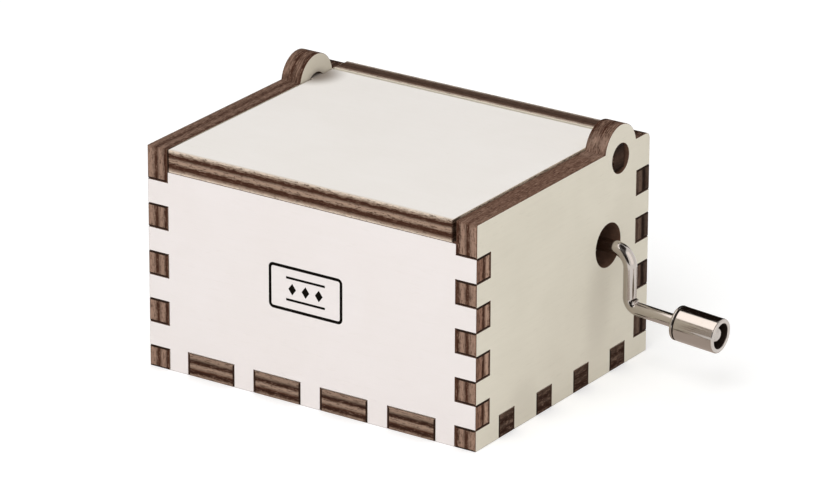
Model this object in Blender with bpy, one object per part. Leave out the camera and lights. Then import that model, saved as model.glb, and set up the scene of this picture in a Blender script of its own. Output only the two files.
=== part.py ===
"""A hand-cranked music box: a finger-jointed plywood case with a pin-hinged lid, round an eighteen-note movement.

X runs along the front towards the crank, Y to the rear and Z up. The origin is the middle of the underside.
Every size is in metres.
"""

import math

import bmesh
import bpy
from mathutils import Matrix, Vector

# Driving sizes of the case
BOX_WIDTH = 0.0640
BOX_DEPTH = 0.0514
SIDE_HEIGHT = 0.0387
PLY = 0.0039

# Finger joints of the case
JOINT_GAP = 0.0001
CORNER_FOOT = 0.0037
TOP_FINGER = 0.0058
FINGERS_PER_CORNER = 4
TABS_PER_EDGE = 4
FRONT_TAB_END = 0.0039
FRONT_TAB_SPACE = 0.0041
SIDE_TAB_END = 0.0030
SIDE_TAB_SPACE = 0.0068
REAR_CORNER_RADIUS = 0.0012

# Lid and its hinge
HINGE_FROM_REAR = 0.0090
HINGE_BORE = 0.00255
EAR_RADIUS = 0.00475
EAR_LIFT = 0.0011
TENON_WIDTH = 0.0030
TENON_SETBACK = 0.0003
LID_SIDE_GAP = 0.0005
LID_SHIFT = -0.0002
LID_REAR_REACH = 0.0044

# Crank
CRANK_HEIGHT = 0.0227
CRANK_PORT = 0.00375
ROD_RADIUS = 0.00115
ROD_TO_FIRST_BEND = 0.0013
FIRST_BEND = 0.0030
ARM_DROP = 0.0099
SECOND_BEND = 0.0018
LEG_DROOP = math.radians(4.0)

# Knob on the crank
KNOB_FROM_ARM = 0.0093
KNOB_LENGTH = 0.0083
KNOB_RADIUS = 0.00295
KNOB_END_ROUND = 0.0004
KNOB_GROOVE_FROM_END = 0.0006
KNOB_GROOVE_WIDTH = 0.0003
KNOB_GROOVE_DEPTH = 0.0002
KNOB_RIM_CHAMFER = 0.0003
KNOB_MOUTH = 0.00215
KNOB_RECESS = 0.0015
PEENED_RADIUS = 0.00155
PEENED_THICKNESS = 0.00075
PEENED_ROUND = 0.0002

# Room round the movement
MOVEMENT_FROM_FRONT = 0.0054
MOVEMENT_FROM_REAR = 0.0013
MOVEMENT_FROM_LEFT = 0.0050

# Fits inside the movement
RUN_GAP = 0.0001
SEAT_GAP = 0.0001
END_PLAY = 0.0003
CUT_PAST = 0.0010

# Worm and its wheel
GEAR_MODULE = 0.0006
WHEEL_TEETH = 20
WORM_PITCH_RADIUS = 0.0025
TOOTH_RISE = 0.0005
TOOTH_FALL = 0.00065
TOOTH_THICKNESS = 0.00074
THREAD_THICKNESS = 0.00078
FLANK_ANGLE = math.radians(20)
WHEEL_WIDTH = 0.0032
WORM_LENGTH = 0.0110
THREAD_LENGTH = 0.0078
WORM_END_CHAMFER = 0.0003

# Pinned cylinder
CYLINDER_FROM_MIDDLE = 0.0100
CYLINDER_RADIUS = 0.0063
CYLINDER_WALL = 0.0006
CYLINDER_BAND = 0.0015
COLLAR_LENGTH = 0.0011
COLLAR_RADIUS = 0.0036
REAR_COLLAR_LENGTH = 0.0004
PLUG_LENGTH = 0.0020
CAP_FLANGE = 0.0008
ARBOR_RADIUS = 0.0012
ARBOR_END = 0.0008
ARBOR_CHAMFER = 0.0002
PIN_HEIGHT = 0.00085
PIN_RADIUS = 0.00022
PIN_SINK = 0.0003
BEATS = 48
SILENT_BEATS = 5
ENTRY_STRIDE = 5
ENTRY_BEATS = 8
SHORTEST_INTERVAL = 9
INTERVALS = 4

# Comb
NOTES = 18
SLOT_WIDTH = 0.0003
TOOTH_BLADE = 0.0006
TREBLE_LENGTH = 0.0095
COMB_BACK = 0.0088
COMB_MARGIN = 0.0010
COMB_THICKNESS = 0.0024
COMB_TIP_GAP = 0.00015
COMB_ROOT_STEP = 0.0008
WEIGHTED_NOTES = 8
WEIGHT_LENGTH = 0.0034
WEIGHT_DEEPEST = 0.0017
WEIGHT_SHALLOWEST = 0.0006
WEIGHT_FROM_TIP = 0.0007

# Bedplate
PLATE_THICKNESS = 0.0020
PLATE_LEFT_MARGIN = 0.0015
PLATE_CORNER = 0.0020
PLATE_END_MARGIN = 0.0002
WINDOW_CORNER = 0.0015
WINDOW_CLEARANCE = 0.0007
PEDESTAL_MARGIN = 0.0004
PEDESTAL_SETBACK = 0.0006
PEDESTAL_CORNER = 0.0012
BOSS_RADIUS = 0.0023
BOSS_HEIGHT = 0.0030
BOSS_INSET = 0.0025
BOSS_CLEARANCE = 0.0006

# Sheet brackets
SHEET = 0.0010
BEND_RADIUS = 0.0006
EAR_ROUND = 0.0030
FOOT_LENGTH = 0.0036
REAR_FOOT_LENGTH = 0.0037
WORM_NOTCH_CLEARANCE = 0.0004
FOOT_SCREW_FROM_END = 0.0019
REAR_SCREW_INSET = 0.0026
FRONT_BRACKET_WIDTH = 0.0110
FRONT_SCREW_INSET = 0.0026
BEARING_ROUND = 0.0034

# Screws
SCREW_RADIUS = 0.0008
SCREW_HEAD_RADIUS = 0.0016
SCREW_HEAD_HEIGHT = 0.0010
SCREW_HEAD_DOME = 0.0003
SCREW_SLOT = 0.0004
SCREW_SLOT_DEPTH = 0.0005
SCREW_HOLE_GAP = 0.0002
SHEET_SCREW_LENGTH = 0.0026
COMB_SCREW_RADIUS = 0.0010
COMB_SCREW_HEAD = 0.0021
COMB_SCREW_LENGTH = 0.0064
COMB_SCREW_SHARE = 0.62
MOUNT_SCREW_RADIUS = 0.0012
MOUNT_SCREW_HEAD = 0.0024
MOUNT_SCREW_LENGTH = 0.0072
MOUNT_HEAD_RECESS = 0.0003

# Facets of round pieces
FINE_STEPS = 48
ROUND_STEPS = 32
SMALL_STEPS = 16
ROD_STEPS = 14
PIN_STEPS = 6
QUARTER_STEPS = 5
EDGE_STEPS = 3
THREAD_STEPS = 20
WHEEL_LAYERS = 2
SHARP_EDGE = math.radians(35)

# Places that several pieces share
HALF_WIDTH = BOX_WIDTH / 2
HALF_DEPTH = BOX_DEPTH / 2
INNER_HALF_WIDTH = HALF_WIDTH - PLY
INNER_HALF_DEPTH = HALF_DEPTH - PLY
FINGER_HEIGHT = (SIDE_HEIGHT - CORNER_FOOT - TOP_FINGER) / (2 * FINGERS_PER_CORNER - 1)
LID_BOTTOM = SIDE_HEIGHT - PLY
HINGE_Y = HALF_DEPTH - HINGE_FROM_REAR
HINGE_Z = SIDE_HEIGHT - PLY / 2

PITCH = math.pi * GEAR_MODULE
WHEEL_PITCH_RADIUS = GEAR_MODULE * WHEEL_TEETH / 2
WORM_TIP_RADIUS = WORM_PITCH_RADIUS + TOOTH_RISE
WHEEL_TIP_RADIUS = WHEEL_PITCH_RADIUS + TOOTH_RISE
AXIS_X = CYLINDER_FROM_MIDDLE
AXIS_Z = CRANK_HEIGHT - WORM_PITCH_RADIUS - WHEEL_PITCH_RADIUS
PLATE_FRONT = MOVEMENT_FROM_FRONT - INNER_HALF_DEPTH
PLATE_REAR = INNER_HALF_DEPTH - MOVEMENT_FROM_REAR
PLATE_LEFT = MOVEMENT_FROM_LEFT - INNER_HALF_WIDTH
PLATE_BOTTOM = PLY + SEAT_GAP
PLATE_TOP = PLATE_BOTTOM + PLATE_THICKNESS
REAR_SHEET_REAR = PLATE_REAR - PLATE_END_MARGIN - REAR_FOOT_LENGTH
REAR_SHEET_FRONT = REAR_SHEET_REAR - SHEET
WHEEL_REAR = REAR_SHEET_FRONT - END_PLAY - REAR_COLLAR_LENGTH
WHEEL_FRONT = WHEEL_REAR - WHEEL_WIDTH
CRANK_Y = (WHEEL_FRONT + WHEEL_REAR) / 2
FRONT_SHEET_FRONT = PLATE_FRONT + PLATE_END_MARGIN + FOOT_LENGTH
FRONT_SHEET_REAR = FRONT_SHEET_FRONT + SHEET
CAP_FRONT = FRONT_SHEET_REAR + END_PLAY
CYLINDER_FRONT = CAP_FRONT + CAP_FLANGE + SEAT_GAP
CYLINDER_REAR = WHEEL_FRONT - COLLAR_LENGTH
CYLINDER_BORE = CYLINDER_RADIUS - CYLINDER_WALL
NOTE_PITCH = (CYLINDER_REAR - CYLINDER_FRONT - 2 * CYLINDER_BAND) / NOTES
COMB_MIDDLE_Y = (CYLINDER_FRONT + CYLINDER_REAR) / 2
COMB_HALF_WIDTH = NOTES * NOTE_PITCH / 2 + COMB_MARGIN
COMB_SCREW_SPREAD = COMB_SCREW_SHARE * COMB_HALF_WIDTH
COMB_TIP_X = AXIS_X - CYLINDER_RADIUS - PIN_HEIGHT - COMB_TIP_GAP
COMB_REAR_X = PLATE_LEFT + PLATE_LEFT_MARGIN
COMB_SCREW_X = COMB_REAR_X + COMB_BACK / 2
BASS_LENGTH = COMB_TIP_X - COMB_REAR_X - COMB_BACK
COMB_TOP = AXIS_Z + TOOTH_BLADE / 2
COMB_BOTTOM = COMB_TOP - COMB_THICKNESS
CHEEK_INSIDE = WORM_LENGTH / 2 + END_PLAY
CHEEK_OUTSIDE = CHEEK_INSIDE + SHEET
BOSS_X = AXIS_X + CHEEK_OUTSIDE + BOSS_CLEARANCE + BOSS_RADIUS
PLATE_RIGHT = BOSS_X + BOSS_INSET


# Scene, finishes and objects


def clear_scene():
    """Takes the startup scene's objects away."""
    for obj in list(bpy.data.objects):
        bpy.data.objects.remove(obj, do_unlink=True)


def finish(name, colour, roughness, metallic):
    """A Principled material with one colour."""
    material = bpy.data.materials.new(name)
    material.use_nodes = True
    shader = material.node_tree.nodes["Principled BSDF"]
    shader.inputs["Base Color"].default_value = (*colour, 1)
    shader.inputs["Roughness"].default_value = roughness
    shader.inputs["Metallic"].default_value = metallic
    return material


def finishes():
    """The part's materials by name."""
    return {
        "ply": finish("birch_plywood", (0.80, 0.74, 0.66), 0.65, 0.0),
        "zinc": finish("cast_zinc", (0.62, 0.62, 0.61), 0.42, 1.0),
        "steel": finish("spring_steel", (0.56, 0.57, 0.58), 0.28, 1.0),
        "nickel": finish("nickel_plate", (0.78, 0.74, 0.70), 0.16, 1.0),
        "brass": finish("brass", (0.80, 0.62, 0.30), 0.25, 1.0),
        "nylon": finish("white_nylon", (0.86, 0.85, 0.80), 0.40, 0.0),
    }


def mesh_object(name, bm, smooth=False):
    """Turns a bmesh into an object with its faces pointing out."""
    bmesh.ops.recalc_face_normals(bm, faces=bm.faces)
    mesh = bpy.data.meshes.new(name)
    bm.to_mesh(mesh)
    bm.free()
    if smooth:
        mesh.shade_smooth()
        mesh.set_sharp_from_angle(angle=SHARP_EDGE)
    obj = bpy.data.objects.new(name, mesh)
    bpy.context.scene.collection.objects.link(obj)
    return obj


def piece(name, bm, material, parent=None, smooth=True):
    """A finished piece, its origin moved to its parent's place."""
    obj = mesh_object(name, bm, smooth)
    obj.data.materials.append(material)
    if parent is not None:
        place = parent.matrix_world.copy()
        obj.data.transform(place.inverted())
        obj.parent = parent
    return obj


def helper(name, bm):
    """A shape that only cuts or joins others."""
    obj = mesh_object(name, bm)
    obj.hide_render = True
    obj.display_type = "WIRE"
    return obj


def combine(obj, operation, *shapes):
    """Adds one exact Boolean for each shape."""
    for shape in shapes:
        modifier = obj.modifiers.new(shape.name, "BOOLEAN")
        modifier.operation = operation
        modifier.solver = "EXACT"
        modifier.object = shape
    return obj


def axis_empty(name, place, direction):
    """An empty on a joint's axis, its own Z along the axis."""
    empty = bpy.data.objects.new(name, None)
    turn = Vector((0, 0, 1)).rotation_difference(Vector(direction))
    empty.matrix_world = Matrix.Translation(place) @ turn.to_matrix().to_4x4()
    bpy.context.scene.collection.objects.link(empty)
    bpy.context.view_layer.update()
    return empty


# Shapes


def arc(centre, radius, start, end, steps):
    """Points on a circle from one angle to another, both included."""
    angles = (start + (end - start) * step / steps for step in range(steps + 1))
    return [(centre[0] + radius * math.cos(angle), centre[1] + radius * math.sin(angle)) for angle in angles]


def rounded_rectangle(low, high, radius):
    """A rectangle's outline with four equal round corners."""
    outline = []
    corners = ((high[0], low[1]), (high[0], high[1]), (low[0], high[1]), (low[0], low[1]))
    for quarter, corner in enumerate(corners):
        start = (quarter - 1) * math.pi / 2
        centre = (
            min(max(corner[0], low[0] + radius), high[0] - radius),
            min(max(corner[1], low[1] + radius), high[1] - radius),
        )
        outline += arc(centre, radius, start, start + math.pi / 2, QUARTER_STEPS)
    return outline


def toothed_edge(start, end, spans, reach):
    """An outline's edge with a tooth on each span, or a notch where the reach is negative."""
    start, end = Vector(start), Vector(end)
    along = (end - start).normalized()
    outward = Vector((along.y, -along.x))
    points = [start]
    for first, last in spans:
        points += [
            start + along * first,
            start + along * first + outward * reach,
            start + along * last + outward * reach,
            start + along * last,
        ]
    return [tuple(point) for point in points]


def plate(outline, plane, low, high, bm=None):
    """A flat plate: an outline in the xy, xz or yz plane, from one height to another across it."""
    bm = bm or bmesh.new()
    corner = {
        "xy": lambda point, height: (point[0], point[1], height),
        "xz": lambda point, height: (point[0], height, point[1]),
        "yz": lambda point, height: (height, point[0], point[1]),
    }[plane]
    lower = [bm.verts.new(corner(point, low)) for point in outline]
    upper = [bm.verts.new(corner(point, high)) for point in outline]
    bm.faces.new(lower)
    bm.faces.new(upper)
    for index in range(len(outline)):
        after = (index + 1) % len(outline)
        bm.faces.new((lower[index], lower[after], upper[after], upper[index]))
    return bm


def block(low, high, bm=None):
    """A rectangular block between two corners."""
    outline = [(low[0], low[1]), (high[0], low[1]), (high[0], high[1]), (low[0], high[1])]
    return plate(outline, "xy", low[2], high[2], bm)


def turned(profile, steps, place, direction, bm=None):
    """Turns a profile of (radius, distance along the axis) points; a closed loop where none lies on the axis."""
    bm = bm or bmesh.new()
    turn = Vector((0, 0, 1)).rotation_difference(Vector(direction)).to_matrix().to_4x4()
    frame = Matrix.Translation(place) @ turn
    rings = []
    for radius, along in profile:
        if radius == 0:
            rings.append([bm.verts.new(frame @ Vector((0, 0, along)))])
            continue
        rings.append(
            [
                bm.verts.new(frame @ Vector((radius * math.cos(angle), radius * math.sin(angle), along)))
                for angle in (2 * math.pi * step / steps for step in range(steps))
            ]
        )
    pairs = list(zip(rings, rings[1:]))
    if len(rings[0]) > 1 and len(rings[-1]) > 1:
        pairs.append((rings[-1], rings[0]))
    for first, second in pairs:
        for step in range(steps):
            after = (step + 1) % steps
            corners = [first[step % len(first)], first[after % len(first)]]
            corners += [second[after % len(second)], second[step % len(second)]]
            bm.faces.new(list(dict.fromkeys(corners)))
    return bm


def rod_between(radius, low, high, steps, place, direction, chamfer=0.0):
    """A straight round bar along an axis, with chamfered ends where asked."""
    profile = [(0, low), (radius - chamfer, low), (radius, low + chamfer)]
    profile += [(radius, high - chamfer), (radius - chamfer, high), (0, high)]
    return turned(list(dict.fromkeys(profile)), steps, place, direction)


def drill(name, radius, low, high, place, direction, steps=SMALL_STEPS):
    """A cutter for a round hole."""
    return helper(name, rod_between(radius, low, high, steps, place, direction))


# Case


def corner_spans():
    """The heights that the front and rear panels' fingers take at each corner."""
    starts = (CORNER_FOOT + 2 * index * FINGER_HEIGHT for index in range(FINGERS_PER_CORNER))
    return [(start, start + FINGER_HEIGHT) for start in starts]


def tab_spans(inner_length, end, space):
    """The stretches of one inner edge that the bottom panel's tabs take, from that edge's start."""
    width = (inner_length - 2 * end - (TABS_PER_EDGE - 1) * space) / TABS_PER_EDGE
    starts = (end + index * (width + space) for index in range(TABS_PER_EDGE))
    return [(start, start + width) for start in starts]


def moved(spans, shift):
    """Spans moved along their edge."""
    return [(first + shift, last + shift) for first, last in spans]


def turned_round(spans, length):
    """Spans measured from an edge's other end."""
    return [(length - last, length - first) for first, last in reversed(spans)]


def widened(spans):
    """Spans with the joint's gap at both ends."""
    return [(first - JOINT_GAP, last + JOINT_GAP) for first, last in spans]


def end_panel(name, height, outer, inner, material):
    """The front or rear panel, whose fingers pass through the side panels."""
    core = INNER_HALF_WIDTH - JOINT_GAP
    fingers = corner_spans()
    tabs = moved(tab_spans(2 * INNER_HALF_WIDTH, FRONT_TAB_END, FRONT_TAB_SPACE), -JOINT_GAP)
    reach = HALF_WIDTH - core
    outline = toothed_edge((-core, 0), (core, 0), widened(tabs), -(PLY + JOINT_GAP))
    outline += toothed_edge((core, 0), (core, height), fingers, reach)
    outline += toothed_edge((core, height), (-core, height), [], 0)
    outline += toothed_edge((-core, height), (-core, 0), turned_round(fingers, height), reach)
    return piece(name, plate(outline, "xz", outer, inner), material, smooth=False)


def ear_arc():
    """The round lug above the hinge, down to the panel's top edge, from the rear to the front."""
    centre = (HINGE_Y, HINGE_Z + EAR_LIFT)
    foot = math.asin((SIDE_HEIGHT - centre[1]) / EAR_RADIUS)
    return arc(centre, EAR_RADIUS, foot, math.pi - foot, 4 * QUARTER_STEPS)


def side_panel(name, outer, inner, material):
    """A side panel with its hinge ear, notched for the other panels' fingers and tabs."""
    height = SIDE_HEIGHT
    notch = -(PLY + JOINT_GAP)
    fingers = widened(corner_spans())
    tabs = widened(moved(tab_spans(2 * INNER_HALF_DEPTH, SIDE_TAB_END, SIDE_TAB_SPACE), PLY))
    corner = (HALF_DEPTH - REAR_CORNER_RADIUS, height - REAR_CORNER_RADIUS)
    outline = toothed_edge((-HALF_DEPTH, 0), (HALF_DEPTH, 0), tabs, notch)
    outline += toothed_edge((HALF_DEPTH, 0), (HALF_DEPTH, height), fingers, notch)
    outline += arc(corner, REAR_CORNER_RADIUS, 0, math.pi / 2, QUARTER_STEPS)
    outline += ear_arc()
    outline += toothed_edge((-HALF_DEPTH, height), (-HALF_DEPTH, 0), turned_round(fingers, height), notch)
    obj = piece(name, plate(outline, "yz", outer, inner), material, smooth=False)
    low, high = sorted((outer, inner))
    place = (0, HINGE_Y, HINGE_Z)
    bore = drill(f"{name}_hinge_bore", HINGE_BORE, low - CUT_PAST, high + CUT_PAST, place, (1, 0, 0), FINE_STEPS)
    return combine(obj, "DIFFERENCE", bore)


def mounting_places():
    """Where the three screws through the bottom panel enter the bedplate."""
    return {
        "left": (COMB_SCREW_X, COMB_MIDDLE_Y),
        "front": (BOSS_X, PLATE_FRONT + BOSS_INSET),
        "rear": (BOSS_X, PLATE_REAR - BOSS_INSET),
    }


def bottom_panel(material):
    """The bottom panel with its tabs and three countersunk holes."""
    across, deep = INNER_HALF_WIDTH - JOINT_GAP, INNER_HALF_DEPTH - JOINT_GAP
    front = moved(tab_spans(2 * INNER_HALF_WIDTH, FRONT_TAB_END, FRONT_TAB_SPACE), -JOINT_GAP)
    side = moved(tab_spans(2 * INNER_HALF_DEPTH, SIDE_TAB_END, SIDE_TAB_SPACE), -JOINT_GAP)
    reach = PLY + JOINT_GAP
    outline = toothed_edge((-across, -deep), (across, -deep), front, reach)
    outline += toothed_edge((across, -deep), (across, deep), side, reach)
    outline += toothed_edge((across, deep), (-across, deep), front, reach)
    outline += toothed_edge((-across, deep), (-across, -deep), side, reach)
    obj = piece("bottom_panel", plate(outline, "xy", 0, PLY), material, smooth=False)
    hole = MOUNT_SCREW_RADIUS + SCREW_HOLE_GAP
    sink = MOUNT_SCREW_HEAD + SCREW_HOLE_GAP
    profile = [(0, -CUT_PAST), (sink, -CUT_PAST), (sink, MOUNT_HEAD_RECESS)]
    profile += [(hole, MOUNT_HEAD_RECESS + sink - hole), (hole, PLY + CUT_PAST), (0, PLY + CUT_PAST)]
    for name, (x, y) in mounting_places().items():
        cutter = helper(f"{name}_countersink", turned(profile, SMALL_STEPS, (x, y, 0), (0, 0, 1)))
        combine(obj, "DIFFERENCE", cutter)
    return obj


def lid(material, hinge):
    """The lid: a plain board whose two tenons turn in the side panels' bores."""
    half = INNER_HALF_WIDTH - LID_SIDE_GAP
    left, right = LID_SHIFT - half, LID_SHIFT + half
    front, rear = -HALF_DEPTH, HINGE_Y + LID_REAR_REACH
    tenon_end = HALF_WIDTH - TENON_SETBACK
    low, high = HINGE_Y - TENON_WIDTH / 2, HINGE_Y + TENON_WIDTH / 2
    outline = [(left, front), (right, front), (right, low), (tenon_end, low), (tenon_end, high)]
    outline += [(right, high), (right, rear), (left, rear)]
    outline += [(left, high), (-tenon_end, high), (-tenon_end, low), (left, low)]
    return piece("lid", plate(outline, "xy", LID_BOTTOM, SIDE_HEIGHT), material, hinge, smooth=False)


# Crank and knob


def leg_direction():
    """The way the crank's outer leg points."""
    return Vector((math.cos(LEG_DROOP), 0, -math.sin(LEG_DROOP)))


def crank_path():
    """Centre line of the crank: along the crank's axis, down the arm and out along the leg."""
    first = (HALF_WIDTH + ROD_TO_FIRST_BEND, CRANK_HEIGHT - FIRST_BEND)
    arm_x = first[0] + FIRST_BEND
    second = (arm_x + SECOND_BEND, CRANK_HEIGHT - ARM_DROP + SECOND_BEND)
    bend = math.pi / 2 - LEG_DROOP
    path = [(AXIS_X - CHEEK_OUTSIDE - ARBOR_END, CRANK_HEIGHT)]
    path += arc(first, FIRST_BEND, math.pi / 2, 0, 2 * QUARTER_STEPS)
    path += arc(second, SECOND_BEND, math.pi, math.pi + bend, 2 * QUARTER_STEPS)
    return [Vector((x, CRANK_Y, z)) for x, z in path]


def knob_place():
    """Where the leg enters the knob."""
    return crank_path()[-1] + leg_direction() * (KNOB_FROM_ARM - SECOND_BEND)


def crank_rod(material, crank):
    """The bent rod, its end peened over inside the knob."""
    path = crank_path()
    leg = leg_direction()
    peen = knob_place() + leg * (KNOB_LENGTH - KNOB_RECESS + RUN_GAP)
    stations = [(point, ROD_RADIUS) for point in path]
    stations += [(peen, ROD_RADIUS), (peen, PEENED_RADIUS)]
    stations += [(peen + leg * (PEENED_THICKNESS - PEENED_ROUND), PEENED_RADIUS)]
    stations += [(peen + leg * PEENED_THICKNESS, PEENED_RADIUS - PEENED_ROUND)]
    bm = bmesh.new()
    rings = []
    centres = [point for point, _ in stations]
    for index, (point, radius) in enumerate(stations):
        before = next((point - other for other in reversed(centres[:index]) if other != point), None)
        after = next((other - point for other in centres[index + 1 :] if other != point), None)
        along = sum((way.normalized() for way in (before, after) if way is not None), Vector())
        if index >= len(path):
            along = leg
        across = Vector((0, 1, 0))
        upward = across.cross(along).normalized()
        angles = (2 * math.pi * step / ROD_STEPS for step in range(ROD_STEPS))
        ring = [point + across * radius * math.cos(angle) + upward * radius * math.sin(angle) for angle in angles]
        rings.append([bm.verts.new(place) for place in ring])
    for first, second in zip(rings, rings[1:]):
        for step in range(ROD_STEPS):
            after = (step + 1) % ROD_STEPS
            bm.faces.new((first[step], first[after], second[after], second[step]))
    bm.faces.new(rings[0])
    bm.faces.new(rings[-1])
    return piece("crank_rod", bm, material, crank)


def crank_knob(material, knob):
    """The sleeve that turns on the crank's leg, open at its outer end."""
    bore = ROD_RADIUS + RUN_GAP
    groove = KNOB_RADIUS - KNOB_GROOVE_DEPTH
    groove_end = KNOB_GROOVE_FROM_END + KNOB_GROOVE_WIDTH
    centre = (KNOB_RADIUS - KNOB_END_ROUND, KNOB_END_ROUND)
    profile = [(bore, 0)]
    profile += arc(centre, KNOB_END_ROUND, -math.pi / 2, 0, EDGE_STEPS)
    profile += [(KNOB_RADIUS, KNOB_GROOVE_FROM_END), (groove, KNOB_GROOVE_FROM_END)]
    profile += [(groove, groove_end), (KNOB_RADIUS, groove_end)]
    profile += [(KNOB_RADIUS, KNOB_LENGTH - KNOB_RIM_CHAMFER), (KNOB_RADIUS - KNOB_RIM_CHAMFER, KNOB_LENGTH)]
    profile += [(KNOB_MOUTH, KNOB_LENGTH), (KNOB_MOUTH, KNOB_LENGTH - KNOB_RECESS)]
    profile += [(bore, KNOB_LENGTH - KNOB_RECESS)]
    return piece("crank_knob", turned(profile, ROUND_STEPS, knob_place(), leg_direction()), material, knob)


# Worm gear


def thread_section(radius):
    """Half the thickness of the worm's thread at a radius."""
    return THREAD_THICKNESS / 2 - (radius - WORM_PITCH_RADIUS) * math.tan(FLANK_ANGLE)


def worm(material, crank):
    """The single-start, right-handed worm fixed on the crank rod."""
    root = WORM_PITCH_RADIUS - TOOTH_FALL
    half = WORM_LENGTH / 2
    bore = ROD_RADIUS + SEAT_GAP
    place = (AXIS_X, CRANK_Y, CRANK_HEIGHT)
    profile = [(bore, -half), (root - WORM_END_CHAMFER, -half), (root, WORM_END_CHAMFER - half)]
    profile += [(root, half - WORM_END_CHAMFER), (root - WORM_END_CHAMFER, half), (bore, half)]
    core = piece("worm", turned(profile, THREAD_STEPS, place, (1, 0, 0)), material, crank)
    turns = THREAD_LENGTH / PITCH
    count = int(round(turns * THREAD_STEPS))
    sunk = (root + bore) / 2
    bm = bmesh.new()
    rings = []
    for step in range(count + 1):
        turn = (step - count / 2) / THREAD_STEPS
        fade = min(1, (count / 2 - abs(step - count / 2)) / (THREAD_STEPS / 4))
        tip = root + (WORM_TIP_RADIUS - root) * fade
        # The space between two threads stands over the wheel's top tooth, half a turn from a crest.
        angle = 2 * math.pi * turn + math.pi / 2
        corners = [
            (sunk, -thread_section(root)),
            (tip, -thread_section(tip)),
            (tip, thread_section(tip)),
            (sunk, thread_section(root)),
        ]
        rings.append(
            [
                bm.verts.new(
                    (
                        AXIS_X + PITCH * turn + along,
                        CRANK_Y + radius * math.cos(angle),
                        CRANK_HEIGHT + radius * math.sin(angle),
                    )
                )
                for radius, along in corners
            ]
        )
    for first, second in zip(rings, rings[1:]):
        for index in range(len(first)):
            after = (index + 1) % len(first)
            bm.faces.new((first[index], first[after], second[after], second[index]))
    bm.faces.new(rings[0])
    bm.faces.new(rings[-1])
    return combine(core, "UNION", helper("worm_thread", bm))


def tooth_outline(twist):
    """The worm wheel's toothed outline in the xz plane, turned by an angle."""
    outline = []
    fall = WHEEL_PITCH_RADIUS - TOOTH_FALL
    for tooth in range(WHEEL_TEETH):
        middle = math.pi / 2 - 2 * math.pi * tooth / WHEEL_TEETH + twist
        for radius, side in ((fall, 1), (WHEEL_TIP_RADIUS, 1), (WHEEL_TIP_RADIUS, -1), (fall, -1)):
            half = TOOTH_THICKNESS / 2 - (radius - WHEEL_PITCH_RADIUS) * math.tan(FLANK_ANGLE)
            angle = middle + side * half / radius
            outline.append((AXIS_X + radius * math.cos(angle), AXIS_Z + radius * math.sin(angle)))
    return outline


def worm_wheel(material, cylinder):
    """The wheel on the cylinder's rear end: slanted teeth, a collar and a plug inside the cylinder."""
    lead = PITCH / (2 * math.pi * WORM_PITCH_RADIUS)
    bm = bmesh.new()
    rings = []
    for layer in range(WHEEL_LAYERS + 1):
        offset = WHEEL_WIDTH * (layer / WHEEL_LAYERS - 1 / 2)
        twist = -offset * lead / WHEEL_PITCH_RADIUS
        rings.append([bm.verts.new((x, CRANK_Y + offset, z)) for x, z in tooth_outline(twist)])
    for first, second in zip(rings, rings[1:]):
        for index in range(len(first)):
            after = (index + 1) % len(first)
            bm.faces.new((first[index], first[after], second[after], second[index]))
    bm.faces.new(rings[0])
    bm.faces.new(rings[-1])
    obj = piece("worm_wheel", bm, material, cylinder)
    plug_front = CYLINDER_REAR - PLUG_LENGTH
    plug = CYLINDER_BORE - SEAT_GAP
    step = CYLINDER_REAR + SEAT_GAP
    profile = [(0, plug_front), (plug, plug_front), (plug, CYLINDER_REAR), (COLLAR_RADIUS, step)]
    rear = WHEEL_REAR + REAR_COLLAR_LENGTH
    profile += [(COLLAR_RADIUS, rear), (0, rear)]
    hub = helper("wheel_hub", turned(profile, ROUND_STEPS, (AXIS_X, 0, AXIS_Z), (0, 1, 0)))
    combine(obj, "UNION", hub)
    bore = ARBOR_RADIUS + SEAT_GAP
    low, high = plug_front - CUT_PAST, rear + CUT_PAST
    return combine(obj, "DIFFERENCE", drill("wheel_bore", bore, low, high, (AXIS_X, 0, AXIS_Z), (0, 1, 0)))


# Pinned cylinder


def pin_places():
    """The beat and the note of every pin: each note sounds at its own steady interval, with a rest at the end."""
    places = []
    for note in range(NOTES):
        first = ENTRY_STRIDE * note % ENTRY_BEATS
        every = SHORTEST_INTERVAL + note % INTERVALS
        places += [(beat, note) for beat in range(first, BEATS - SILENT_BEATS, every)]
    return places


def note_y(note):
    """The place of a note's tooth along the cylinder."""
    return COMB_MIDDLE_Y + (note - (NOTES - 1) / 2) * NOTE_PITCH


def pinned_cylinder(material, cylinder):
    """The thin tube whose pins pluck the comb."""
    profile = [(CYLINDER_BORE, CYLINDER_FRONT), (CYLINDER_RADIUS, CYLINDER_FRONT)]
    profile += [(CYLINDER_RADIUS, CYLINDER_REAR), (CYLINDER_BORE, CYLINDER_REAR)]
    tube = turned(profile, BEATS, (AXIS_X, 0, AXIS_Z), (0, 1, 0))
    obj = piece("pinned_cylinder", tube, material, cylinder)
    pins = bmesh.new()
    low, high = CYLINDER_RADIUS - PIN_SINK, CYLINDER_RADIUS + PIN_HEIGHT
    profile = [(0, low), (PIN_RADIUS, low), (PIN_RADIUS, high), (0, high)]
    for beat, note in pin_places():
        angle = 2 * math.pi * (beat + 1 / 2) / BEATS
        direction = (math.cos(angle), 0, math.sin(angle))
        turned(profile, PIN_STEPS, (AXIS_X, note_y(note), AXIS_Z), direction, pins)
    return combine(obj, "UNION", helper("cylinder_pins", pins))


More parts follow.
